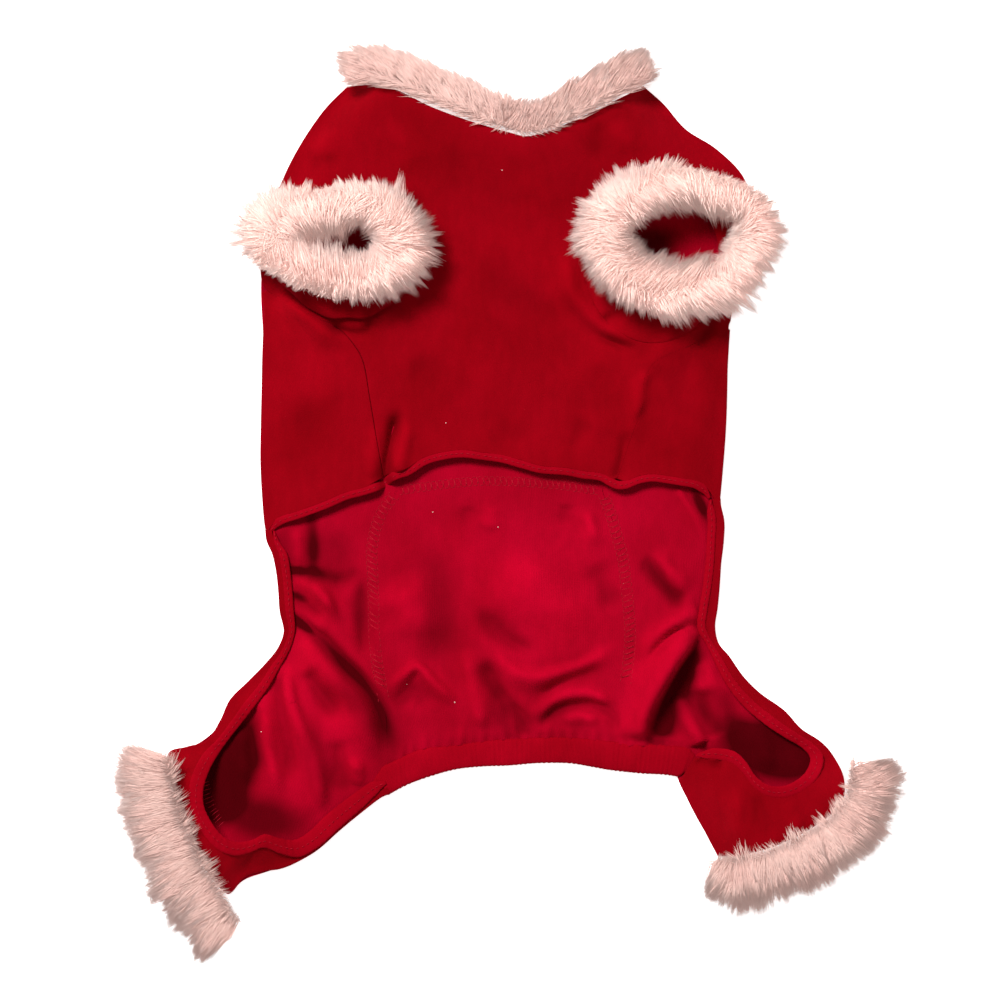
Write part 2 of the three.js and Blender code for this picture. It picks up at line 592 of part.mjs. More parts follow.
// Loop round a flattened opening: along the line on the near side, round its end, and back on the far side.
function flatPlushGeometry(line, { half, thick, along, turns }) {
  const round = (thick + plushSlot) / 2; // from the middle of the loop to the middle of each strip
  const middle = thick / 2 + round;
  const total = line.slice(1).reduce((sum, point, index) => sum + lengthOf(line[index], point), 0);
  const strip = (index) => round + ((total - 2 * round) * index) / along;
  const loop = [];
  for (let index = 0; index <= along; index += 1) {
    loop.push({ distance: strip(index), height: middle + round });
  }
  for (let turn = 1; turn <= turns; turn += 1) {
    const angle = (Math.PI * turn) / (turns + 1);
    loop.push({
      distance: total - round + round * Math.sin(angle),
      height: middle + round * Math.cos(angle),
    });
  }
  for (let index = along; index >= 0; index -= 1) {
    loop.push({ distance: strip(index), height: middle - round });
  }
  for (let turn = 1; turn <= turns; turn += 1) {
    const angle = (Math.PI * turn) / (turns + 1);
    loop.push({ distance: round - round * Math.sin(angle), height: middle - round * Math.cos(angle) });
  }
  const stations = loop.map(({ distance, height }) => {
    const { x, y } = pointAlong(line, distance);
    const before = pointAlong(line, distance - plushSmoothing);
    const after = pointAlong(line, distance + plushSmoothing);
    const axis = new THREE.Vector3(before.y - after.y, after.x - before.x, 0).normalize();
    return { place: new THREE.Vector3(x, y, height), axis, halfAxis: half, halfAcross: thick / 2 };
  });
  return ovalTube(stations, { closed: true });
}

function sleevePlushGeometry(ring) {
  const count = sleevePlush.stations;
  const stations = Array.from({ length: count }, (_, index) => {
    const angle = (2 * Math.PI * index) / count;
    const place = new THREE.Vector3(
      ring.x + ring.halfWidth * Math.cos(angle),
      ring.y + ring.halfLength * Math.sin(angle),
      ring.z,
    );
    const up = new THREE.Vector3(0, 0, 1);
    return { place, axis: up, halfAxis: sleevePlush.height / 2, halfAcross: ring.reach };
  });
  return ovalTube(stations, { closed: true });
}

// ---------------------------------------------------------------- the suit
const wasm = await Module();
wasm.setup();

const suit = new THREE.Group();

function add(name, geometry, color) {
  const material = new THREE.MeshStandardMaterial({ color, roughness: 0.95, metalness: 0 });
  const mesh = new THREE.Mesh(geometry, material);
  mesh.name = name;
  suit.add(mesh);
}

const { face, wrongSide, band, plush } = colours;
add('back_panel', backGeometry(), wrongSide);
add('seat_panel', seatGeometry(), wrongSide);
add('side_back_left', sideBackGeometry('left', sideBackLeftFold, sideBackLeftEnd, -1), wrongSide);
add('side_back_right', sideBackGeometry('right', sideBackRightFold, sideBackRightEnd, 1), wrongSide);
add('belly_panel', bellyGeometry(wasm), face);
add('flank_left', flankLeftGeometry(), face);
add('flank_right', flankRightGeometry(), face);
add('leg_front_left', legFrontGeometry(legFrontLeft), face);
add('leg_front_right', legFrontGeometry(legFrontRight), face);
add('sleeve_left', sleeveGeometry(sleeveLeftRings), face);
add('sleeve_right', sleeveGeometry(sleeveRightRings), face);
add('band_belly', bellyBandGeometry(), band);
add('band_leg_left', legBandGeometry(legFrontLeft), band);
add('band_leg_right', legBandGeometry(legFrontRight), band);
add('band_rump', rumpBandGeometry(), band);
add('plush_neck', flatPlushGeometry(neckPlushLine, neckPlush), plush);
add('plush_sleeve_left', sleevePlushGeometry(sleevePlushLeft), plush);
add('plush_sleeve_right', sleevePlushGeometry(sleevePlushRight), plush);
add('plush_leg_left', flatPlushGeometry(legPlushLeft, legPlush), plush);
add('plush_leg_right', flatPlushGeometry(legPlushRight, legPlush), plush);

export default suit;
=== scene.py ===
"""Finished look of a dog pyjama suit with plush trims, laid flat on its back with the belly side up.

The tables and heights are those of the part, in millimetres: +Z up from the surface, +Y to the neck.
"""

import math

import bpy
import numpy as np
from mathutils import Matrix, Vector
from mathutils.kdtree import KDTree


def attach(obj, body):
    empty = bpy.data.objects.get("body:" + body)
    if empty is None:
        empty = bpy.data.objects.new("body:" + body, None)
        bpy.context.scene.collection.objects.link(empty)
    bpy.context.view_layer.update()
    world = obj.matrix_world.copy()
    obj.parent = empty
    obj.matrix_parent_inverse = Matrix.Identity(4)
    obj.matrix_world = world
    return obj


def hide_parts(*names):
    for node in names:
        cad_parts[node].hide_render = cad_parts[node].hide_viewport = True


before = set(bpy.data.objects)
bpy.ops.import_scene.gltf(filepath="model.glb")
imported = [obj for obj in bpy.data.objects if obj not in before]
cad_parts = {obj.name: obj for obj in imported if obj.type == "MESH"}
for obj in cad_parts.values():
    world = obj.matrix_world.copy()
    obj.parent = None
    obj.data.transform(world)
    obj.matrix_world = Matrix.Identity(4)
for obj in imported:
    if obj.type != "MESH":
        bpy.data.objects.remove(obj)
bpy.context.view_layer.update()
bpy.ops.object.select_all(action="DESELECT")

MM = 0.001
CLOTH_WALL = 1.2
SEAM_GAP = 0.3
TIGHT_SEAM = -0.3  # edges lap a little where a seam is stitched flat
SIDE_SEAM = 0.16  # what shows of the gap along the side seams of the belly
FAR_MIDDLE = CLOTH_WALL / 2
NEAR_MIDDLE = 1.5 * CLOTH_WALL + SEAM_GAP
EDGE_ROUND = 11
BELLY_AIR = 5.2
NECK_AIR, NECK_AIR_REACH = 9.8, 30
LEG_AIR, LEG_AIR_REACH = 10.5, 44
LEG_MIDDLES = ((-160, -160), (140, -162))
BELLY_BAND_WIDTH = 4.4
SLEEVE_BASE = 7.4
PLUSH_SLEEVE_LEFT = {"x": -86, "y": 129.5, "half_width": 36.2, "half_length": 19}
PLUSH_SLEEVE_RIGHT = {"x": 84.6, "y": 131.8, "half_width": 38.6, "half_length": 27}


def table(columns, rows):
    """Named columns of a short table."""
    return {name: np.array(values, float) for name, values in zip(columns.split(), zip(*rows))}


# ---------------------------------------------------------------- outlines
FOLD_LEFT = table("x y", [
    (-80.5, 207.5), (-99.5, 185.5), (-112, 163), (-119, 145), (-123, 125), (-123.8, 113),
    (-121.8, 96), (-122.8, 76), (-123.8, 31), (-123.3, 10), (-120.5, -10), (-121, -17),
    (-117.3, -27), (-115.8, -35), (-114.3, -48), (-112, -65), (-115.3, -74), (-121.8, -82),
    (-139.3, -99.3), (-150.8, -119.8), (-170, -124.5),
])
FOLD_RIGHT = table("x y", [
    (67.5, 207.5), (88.5, 186), (104, 176), (113.5, 170.5), (118.3, 160), (119, 147), (115.5, 127),
    (112, 105), (110, 84), (109.3, 60), (108.6, 41), (107, 22), (105.4, 5), (107.6, -8), (106, -29),
    (104.8, -49), (102.8, -62), (103.7, -69), (109.8, -77.3), (125.3, -95.8), (137.8, -104.8),
    (155.8, -120.3), (161.5, -127),
])
LEG_FOLD_LEFT = table("x y", [
    (-60.5, -146.5), (-84.3, -163.8), (-95, -173.8), (-109.8, -182.5), (-122.8, -185.3),
    (-132.8, -189), (-139, -197.5),
])
LEG_FOLD_RIGHT = table("x y", [
    (82.5, -136), (87.8, -146.8), (92.8, -156.8), (99.8, -168.3), (105, -178.5),
])
NECK_EDGE = table("x y", [
    (-80.5, 207.5), (-70, 207.6), (-60, 206.5), (-50, 202), (-39, 196.5), (-26, 191.5),
    (-13, 187.2), (0, 183.6), (9, 181.6), (20, 184.2), (33, 189.6), (44, 194.8), (55, 200.5),
    (67.5, 207.5),
])
BELLY_ROWS = table("left_x left_y right_x right_y", [
    (-80.5, 207.5, 67.5, 207.5), (-91, 197, 78, 198), (-99.5, 185.5, 88.5, 186),
    (-106.5, 174, 104, 176), (-112, 163, 118, 161), (-119, 145, 119, 147), (-123, 125, 115.5, 127),
    (-123.8, 113, 112, 105), (-120.5, 105.5, 109.5, 87), (-100, 93.5, 91, 78), (-86, 87, 74, 70.5),
    (-78, 79.5, 67.5, 61), (-72.5, 70, 66.5, 48), (-69.3, 52.8, 61.5, 33), (-66.3, 34.8, 57.5, 20),
    (-62.6, 12.6, 54.2, 11.6),
])
BELLY_HEM = table("x y", [
    (-117.6, -16.4), (-113.3, -11.8), (-103.3, -8.3), (-89.8, -3.3), (-80.3, 0.8), (-70, 3.6),
    (-62.6, 6.4), (-55.8, 10.8), (-49, 13.2), (-40.8, 18.3), (-33, 20.6), (-23.3, 21.8),
    (-14.3, 20.8), (-3.8, 19.3), (6, 16.6), (15.8, 14), (28.3, 13), (37.3, 11.3), (45.3, 10.3),
    (50, 7.7), (54.2, 6), (59.3, 6.4), (65.5, 8.8), (71.8, 9.8), (79.8, 8.8), (85.8, 7.8),
    (92.3, 6.6), (96.3, 4), (98.6, 0.4),
])
FLANK_LEFT_FOLD = table("x y", [
    (-123.2, 104.5), (-121.8, 96), (-122.2, 88), (-122.8, 76), (-123.2, 58), (-123.6, 39),
    (-123.8, 18), (-122.2, -8.6),
])
FLANK_RIGHT_FOLD = table("x y", [
    (110.2, 86), (109.8, 78), (109.4, 68), (109.2, 56), (108.7, 42), (107.8, 29), (106.7, 17),
    (105.4, 3),
])
BACK_ROWS = table("left_x left_y right_x right_y", [
    (-80.5, 207.5, 67.5, 207.5), (-91, 197, 78, 198), (-99.5, 185.5, 88.5, 186),
    (-106.5, 174, 104, 176), (-112, 163, 118, 161), (-119, 145, 119, 147),
    (-117, 131.5, 109, 131.5), (-94.4, 104.7, 90, 104.7), (-77.4, 74.7, 72, 74.7),
    (-65.4, 44.7, 60, 44.7), (-57.6, 19.7, 50.4, 19.7), (-56, 5.2, 47, 5.2),
])
WAIST_SEAM = table("x y", [
    (-56, 5.2), (-47, 6.6), (-37.8, 7.9), (-27, 9.2), (-14.3, 10.2), (-4, 10.2), (5.8, 9.8),
    (16, 9), (25.8, 8.2), (36, 6.8), (47, 5.2),
])
SEAT_ROWS = table("left_x left_y right_x right_y", [
    (-56.2, 4.2, 47.2, 4.2), (-62.5, -4, 51, -6), (-66.2, -13, 54.2, -17.5),
    (-68.3, -24, 57.3, -29), (-67.9, -36, 58.6, -41), (-67.4, -50, 60, -54),
    (-67.2, -64, 60.7, -67), (-66, -78, 59.8, -80), (-64, -90, 58, -93), (-61.8, -102, 56.6, -104),
    (-61, -114, 55.2, -113.5), (-60.8, -132.6, 54, -120.6),
])
RUMP_TOP = table("x y", [
    (-60.8, -132.6), (-51, -127.2), (-42, -123.8), (-28.5, -122.6), (-14.5, -120.6), (0, -119.2),
    (15, -118.6), (28, -118.4), (40, -119.2), (54, -120.6),
])
SIDE_BACK_LEFT_FOLD = table("x y", [
    (-121.2, 131), (-123.8, 108), (-122.8, 78), (-123.6, 46), (-123.5, 16), (-122.2, -3),
    (-120.5, -12), (-119.4, -22), (-116.5, -32), (-115, -42), (-114, -54), (-112.2, -65),
    (-116, -75.5), (-124, -84), (-132, -92), (-140, -101), (-147, -114), (-158, -122), (-170, -125),
    (-170.5, -137), (-166, -152), (-158.6, -168), (-149.5, -184), (-140.2, -196.5),
])
SIDE_BACK_LEFT_END = table("x y", [
    (-62.5, -141.5), (-68, -150), (-79, -158.6), (-91.5, -169.5), (-105, -179.8), (-118, -184.2),
    (-132, -188.6),
])
SIDE_BACK_RIGHT_FOLD = table("x y", [
    (116.3, 131.5), (112, 106), (109.6, 76), (108.8, 44), (106.8, 19), (105.7, 2), (107.6, -8),
    (107, -20), (106, -30), (105.4, -42), (104.2, -54), (102.9, -63.5), (105.5, -72), (112, -80.5),
    (121, -91), (130, -99.5), (138.5, -105.5), (147, -114.5), (160, -124), (167, -136), (166, -149),
    (155.5, -161), (137.5, -169.4), (115, -177.4),
])
SIDE_BACK_RIGHT_END = table("x y", [
    (68, -122.2), (82.5, -124.2), (84.5, -138), (89.5, -149), (95.5, -160), (100.4, -169.5),
    (104.6, -177.4),
])
LEG_FRONT_LEFT = table("fold_x fold_y edge_x edge_y band", [
    (-121.3, -13.8, -115.8, -14.8, 3.0), (-120.6, -19.6, -114, -20.6, 3.4),
    (-117.8, -26, -110.5, -26.2, 4.4),
    (-115.9, -34.5, -109, -34.2, 4.4), (-114.8, -44, -108, -43.4, 4.4),
    (-114, -55, -107.2, -54.6, 4.4), (-112, -65, -106.6, -64.4, 3.4),
    (-115, -73.4, -109, -73.4, 3.8), (-121.8, -81.8, -114, -82.6, 4.6),
    (-130, -90, -119.5, -92.4, 5.2), (-139.3, -99.3, -126, -101.4, 6),
    (-143.8, -109.3, -132.3, -109.6, 6), (-150.8, -119.8, -139.6, -118.8, 6.4),
    (-161, -122.8, -145.2, -126.8, 6.8), (-169.8, -125.6, -149.2, -134.6, 7.2),
    (-170.4, -138, -151.7, -143.4, 7.4), (-165.4, -153.6, -151.1, -152, 7.4),
    (-157.8, -169.4, -147.4, -159.6, 7.4), (-149, -184.8, -142.4, -166, 7.4),
    (-140.2, -196.2, -135.4, -169.4, 7), (-131.8, -187.6, -127.8, -168.4, 6.8),
    (-122.8, -185, -121.4, -165.6, 7), (-113.4, -183.4, -114.8, -167.6, 8),
    (-104.5, -179.2, -107, -168.8, 9.2), (-95.4, -173.6, -100, -165, 9.4),
    (-84.3, -163.8, -91, -156.4, 9.6), (-72.8, -154.4, -78.8, -146.8, 8.8),
    (-64, -147.8, -68, -139.6, 6.8), (-59, -145.6, -62.5, -137.4, 6.2),
])
LEG_FRONT_RIGHT = table("fold_x fold_y edge_x edge_y band", [
    (105.6, 1.6, 99.2, 0.8, 3.4), (105.8, -2, 98.9, -2.6, 4), (107.5, -10, 99.3, -10, 4.4),
    (107.2, -20, 98.9, -20, 4.4),
    (105.9, -31, 98.3, -31, 4.4), (105.2, -42, 97, -42, 4.4), (104.2, -53, 95.2, -53, 4.4),
    (102.9, -62.5, 94.2, -63.2, 4.4), (104.6, -71, 98.8, -71.8, 3.8),
    (109.8, -77.3, 103.2, -81, 4.4), (116.8, -87.3, 108.8, -91.6, 5),
    (125.3, -95.8, 117, -102, 5.6), (137.8, -104.8, 128, -111.4, 6), (146, -113.8, 138, -118, 6),
    (155.8, -120.3, 146.4, -123, 6.4), (161.8, -127, 150.4, -128, 6.8),
    (167, -138, 148.6, -133.6, 7), (165.6, -150.6, 144, -138, 7), (153.6, -160.4, 137, -141.2, 7),
    (139, -168.6, 129.4, -141, 7), (122, -174.8, 122.8, -136.4, 7),
    (107.2, -177.6, 118.2, -129.4, 6.6), (100, -168, 112.6, -124.4, 6.4),
    (92, -154, 104, -122.8, 6.2), (85.4, -139.6, 95.4, -123.6, 6),
])
RUMP_BAND_ROWS = table("top_x top_y bottom_x bottom_y", [
    (-69.5, -136.4, -64.6, -148.4), (-59.8, -131.8, -58.6, -144.9), (-51, -127.6, -49.6, -140.2),
    (-42, -124.2, -38.8, -136.3),
    (-28.5, -123, -26.3, -132.9), (-14.5, -121, -13.3, -131.5), (0, -119.6, 0.3, -131),
    (15, -119, 15, -129.8), (28, -118.8, 30, -129.9), (40, -119.6, 42, -131.8),
    (54, -121, 53, -133.6), (68, -121.6, 66.6, -135), (81.6, -123.0, 79.6, -135.8),
    (97, -124.2, 90, -137.6),
])
SLEEVE_LEFT_RINGS = table("rise follow x y half_width half_length", [
    (0.14, 1, -79.5, 126, 34, 33), (1.8, 1, -79.5, 126, 34, 33), (4.0, 0.8, -80.4, 124.8, 35, 33.6),
    (6.6, 0.3, -84, 127, 36, 27), (8.2, 0, -86, 129.5, 36, 20.5),
])
SLEEVE_RIGHT_RINGS = table("rise follow x y half_width half_length", [
    (0.14, 1, 72, 119, 34, 40), (1.4, 0.92, 73.4, 120.4, 34.2, 38.6), (3.4, 0.68, 76.4, 123.4, 35.4, 35.6),
    (5.8, 0.32, 80.4, 127.6, 37, 31.6), (8.2, 0, 84.5, 131.8, 38.5, 28),
])
NECK_PLUSH_LINE = table("x y", [
    (-76.6, 217.4), (-62, 217.9), (-44, 212), (-26, 204.6), (-10, 198), (2, 193.6), (10, 192),
    (18, 194), (32, 200.8), (48, 210), (64.4, 217.4),
])
LEG_PLUSH_LEFT = table("x y", [
    (-184.3, -128), (-184.6, -141), (-180, -157.4), (-171.6, -180), (-161, -199.4),
    (-149.6, -217.6),
])
LEG_PLUSH_RIGHT = table("x y", [
    (104, -191.2), (117.7, -191.6), (133.7, -187.6), (150, -180.6), (165.6, -171.6), (178, -158.8),
    (183.9, -146), (184.45, -133.6),
])
FAR_FOLDS = table("from_x from_y to_x to_y half_width height", [
    (-101, -40, -86, -50, 6, 3.2), (-99, -60, -70, -92, 7, 6.5), (-103, -84, -78, -132, 7, 5.5),
    (-112, -98, -102, -150, 7, 4.5), (-50, -80, -22, -104, 7, 3.6), (-4, -75, 44, -70, 12, 4.2),
    (0, -98, 12, -112, 6, 3.2), (26, -96, 44, -108, 7, 3), (92, -60, 66, -88, 7, 6.5),
    (84, -88, 62, -112, 8, 5.5), (-22, -30, -6, -60, 14, 3.4), (40, -20, 34, -50, 12, 3),
    (112, -88, 104, -112, 8, 3.4),
])
NEAR_FOLDS = table("from_x from_y to_x to_y half_width height", [
    (-52, 40, -58, 14, 6, 2.2), (28, 104, 62, 66, 8, 2.6), (60, 62, 56, 20, 7, 1.8),
    (-10, 30, 30, 20, 10, 1.2), (18, 132, 26, 92, 9, 2), (-112, 92, -88, 80, 6, 1.4),
])


# ---------------------------------------------------------------- creases
# Each has its height (a trough's is negative), its half widths to the left and right of its line, how far
# it fades in and out as shares of its length, and the points of its line.
FAR_CREASES = [
    # gathers that run from the left elastic down to the rump and the leg
    (-5.6, 3.6, 6.6, 0.05, 0.55,
     [(-108, -57), (-95, -68), (-84, -79), (-73, -89.5), (-65.5, -102), (-60.5, -117), (-59.5, -134)]),
    (5.6, 3.6, 8.5, 0.05, 0.3, [(-108, -64), (-97, -73), (-84, -87), (-73, -100), (-68, -116), (-68, -130)]),
    (-2.6, 5.0, 4.0, 0.2, 0.3, [(-102, -83), (-92, -99), (-82, -110)]),
    (3.8, 2.9, 4.5, 0.05, 0.2,
     [(-112, -80), (-108.3, -99), (-103, -114), (-97, -129), (-93.5, -149), (-94.5, -157)]),
    (-2.6, 4.0, 3.0, 0.1, 0.3, [(-117, -86), (-113, -104), (-109.5, -124), (-108, -144)]),
    (2.8, 3.0, 5.0, 0.1, 0.3, [(-122, -93), (-122.5, -106), (-120, -121), (-116, -138), (-115, -151)]),
    (-2.2, 4.0, 3.0, 0.1, 0.3, [(-127, -101), (-128.5, -118), (-124.5, -138)]),
    (2.0, 3.0, 3.0, 0.2, 0.4, [(-133, -113), (-132.5, -128), (-129, -142)]),
    (-2.2, 4.0, 4.0, 0.2, 0.2, [(-86, -118), (-83.5, -132), (-82, -147)]),
    (2.6, 2.6, 3.5, 0.3, 0.2, [(-76, -128), (-75, -142)]),
    (-2.8, 2.4, 2.6, 0.05, 0.5, [(-110, -34), (-97, -35.5), (-87, -41)]),
    (3.8, 2.8, 4.4, 0.05, 0.4, [(-108, -39.5), (-98, -42), (-90, -50), (-85, -62)]),
    (-2.0, 2.5, 3.0, 0.05, 0.4, [(-108, -49.5), (-99.5, -54), (-92, -60)]),
    (1.8, 2.5, 3.0, 0.05, 0.4, [(-108, -53.5), (-99, -59), (-90, -68)]),
    (-1.7, 3.0, 2.4, 0.1, 0.2, [(-99.5, -2), (-98, -18), (-97.5, -34)]),
    (1.4, 2.5, 3.0, 0.2, 0.2, [(-106, -14), (-105.5, -30)]),
    (-1.6, 5.0, 3.0, 0.3, 0.3, [(-72, -34), (-73.2, -56), (-72.5, -80)]),
    (-1.2, 3.0, 4.0, 0.3, 0.3, [(-91, -41), (-81, -38.5), (-72, -34)]),
    # seat
    (2.0, 11.0, 11.0, 0.4, 0.4, [(-57, -36), (-50, -52), (-47, -70)]),
    (-2.0, 9.0, 9.0, 0.3, 0.3, [(-35, -20), (-32.5, -42), (-32, -60), (-33.5, -76), (-29, -88)]),
    (2.6, 1.8, 3.4, 0.3, 0.2, [(-62, -96), (-54, -88), (-45.5, -82), (-36, -91), (-25, -101)]),
    (-1.6, 5.0, 4.0, 0.3, 0.3, [(-58, -104), (-47, -96), (-38, -104)]),
    (2.2, 5.0, 4.0, 0.3, 0.2, [(-22, -72), (-17.5, -92), (-12, -115)]),
    (-2.4, 5.5, 4.5, 0.3, 0.3, [(-17, -51), (-7.5, -63), (5, -72), (17, -77)]),
    (3.2, 11.0, 12.0, 0.4, 0.4, [(-6, -22), (10, -42), (26, -56), (46, -68)]),
    (-1.5, 6.0, 5.0, 0.3, 0.3, [(41, -30), (48, -42), (53, -56)]),
    (1.5, 3.5, 3.5, 0.3, 0.4, [(38, -2), (41, -12), (45, -24)]),
    (-1.3, 3.0, 3.0, 0.2, 0.4, [(29, -1), (28, -13)]),
    (1.1, 5.0, 5.0, 0.2, 0.4, [(-8, -2), (-10, -16)]),
    (-0.9, 4.0, 4.0, 0.2, 0.4, [(-20, -2), (-21, -14)]),
    (2.6, 2.4, 4.8, 0.3, 0.3, [(-7, -73), (2, -84), (14, -87.5), (28, -84.5), (41, -79.5), (55, -71)]),
    (-3.0, 3.5, 4.0, 0.2, 0.1, [(-11.5, -77), (-8, -90), (0, -101), (6.5, -110), (8, -119)]),
    (1.7, 2.0, 2.5, 0.3, 0.1, [(-4.5, -94), (3, -107), (3.6, -118)]),
    (-1.9, 4.0, 4.5, 0.3, 0.3, [(12, -100), (22, -92), (34, -86.5), (50, -82)]),
    (1.9, 3.0, 3.0, 0.2, 0.2, [(12, -109), (24, -98.5), (40, -96), (54, -101)]),
    (-2.0, 2.8, 2.8, 0.2, 0.2, [(14, -115), (23, -104.5), (38, -101.5), (51, -107), (54.5, -118)]),
    (1.5, 3.5, 3.5, 0.3, 0.3, [(25, -109), (36, -107), (46, -110.5)]),
    # right side: a fold pulled up to the elastic, with a tongue below it
    (-2.8, 2.5, 4.0, 0.2, 0.2, [(68, -27), (76, -39), (84, -47), (91, -50)]),
    (1.5, 4.0, 4.0, 0.3, 0.3, [(72, -24), (82, -36), (92, -44)]),
    (3.2, 3.0, 4.0, 0.05, 0.3, [(95.5, -56), (88, -58.5), (80, -62), (71, -71), (64, -80)]),
    (-1.6, 2.0, 2.5, 0.1, 0.3, [(91, -60), (78, -68.5), (69, -79)]),
    (5.4, 2.4, 9.0, 0.05, 0.1, [(95, -63), (90, -71), (82, -82), (74, -95), (68.5, -107), (66, -120)]),
    (-4.4, 7.0, 3.0, 0.05, 0.1, [(97, -68), (91, -80), (83, -92), (77.5, -105), (75.5, -119)]),
    (3.4, 2.4, 3.6, 0.2, 0.05, [(84, -96), (88.5, -106), (93, -115), (96, -121)]),
    (-2.4, 4.5, 3.0, 0.2, 0.1, [(91, -93), (99, -109), (104, -118)]),
    (2.4, 3.5, 3.5, 0.2, 0.4, [(99, -78), (101.5, -87), (104, -98)]),
    (2.2, 3.0, 3.0, 0.2, 0.4, [(94, -80), (96, -90), (97, -99)]),
    (1.5, 1.6, 2.2, 0.1, 0.2, [(84, 7), (90, -2), (96.5, -13), (99, -22)]),
    (-1.5, 4.0, 4.0, 0.3, 0.3, [(110, -92), (112, -104), (110, -114)]),
    (1.8, 4.0, 4.0, 0.3, 0.3, [(122, -106), (127, -120), (131, -136)]),
    (-1.4, 4.0, 4.0, 0.3, 0.3, [(136, -112), (140, -128)]),
    # under the belly, where only the back of the suit would show them
    (1.0, 9.0, 9.0, 0.4, 0.4, [(-40, 150), (-20, 120), (-10, 80)]),
    (0.9, 8.0, 8.0, 0.4, 0.4, [(30, 140), (36, 100), (28, 60)]),
]
# Air under the far layer: middle, reach along x and y, and height.
FAR_AIR = [(-4, -58, 56, 52, 6.4), (-92, -78, 26, 36, 5.0), (84, -66, 22, 36, 5.2), (-104, -130, 24, 28, 3.6),
           (112, -108, 26, 24, 2.4)]
FLATTEN = 0.6  # troughs level out where the layer comes down to the surface
FAR_DEPTH, NEAR_DEPTH = 1.9, 1.7
# Painted shade, darkest in deep places inside the legs and under folds: middle, reach along and across, turn
# in degrees, strength.
FAR_SHADE_PATCHES = [
    (-142, -135, 27, 15, 66, 1.35), (-124, -158, 24, 11, -10, 0.6), (132, -124, 25, 14, -18, 1.3),
    (-73, -98, 26, 8, -57, 0.5), (-60, -122, 24, 10, -86, 0.2), (-36, -52, 22, 9, -80, 0.06),
    (-2, -64, 18, 8, -38, 0.04), (-3, -104, 14, 7, -70, 0.25), (-98.2, -20, 20, 3.8, -89, 0.3),
    (-106.5, -34.5, 6, 2.2, -8, 0.8), (-105.5, -47, 6, 2.2, -22, 0.7), (-104, -61, 8, 2.4, -40, 0.8),
    (-108, -56, 4, 2.2, -60, 0.5), (-96, -37, 14, 4.4, -8, 0.34), (-74.5, -52, 13, 4.4, 90, 0.22),
    (-90, -26, 14, 13, 0, 0.28), (76, -40, 15, 5.5, -55, 0.2), (82, -99, 27, 8, 66, 0.75),
    (106, -106, 15, 9, -50, 0.3), (96, -1.5, 9, 3, -66, 0.8), (-113, -26, 13, 6, 90, 0.35),
    (-96, -128, 20, 7, -78, 0.3), (24, -104, 16, 5, 20, 0.25), (71, 128, 15, 11, 10, 0.7),
    (-73, 130, 12, 8, 0, 0.5),
]
ARMHOLES = [(-79.5, 126, 34, 33), (72, 119, 34, 40)]
SLEEVE_SWELL, SLEEVE_SWELL_REACH = 2.4, 9  # the belly rises towards the sleeves
# Small gathers just above the rump band: the place along it, their length, half width and height.
RUMP_GATHERS = table("x length half_width height", [
    (-54, 9, 1.6, 1.3), (-48.5, 7, 1.4, 1.0), (-42, 12, 2.0, 1.6), (-37, 8, 1.3, 1.1), (-30.5, 10, 1.8, 1.2),
    (-24.5, 14, 1.9, 1.7), (-19, 7, 1.2, 1.0), (-13.5, 10, 1.7, 1.5), (-8, 6, 1.2, 1.0), (-2.5, 9, 1.6, 1.5),
    (3, 7, 1.3, 1.2), (8.5, 9, 1.6, 1.5), (13.5, 6, 1.2, 1.0), (19, 10, 1.7, 1.4), (25, 7, 1.3, 1.1),
    (31, 9, 1.6, 1.3), (37, 6, 1.2, 1.0), (42.5, 9, 1.5, 1.4), (49, 7, 1.3, 1.1),
    (55.5, 9, 1.5, 1.3), (61, 7, 1.3, 1.1), (67.5, 10, 1.7, 1.4), (74, 7, 1.4, 1.1), (79, 6, 1.2, 1.0),
])
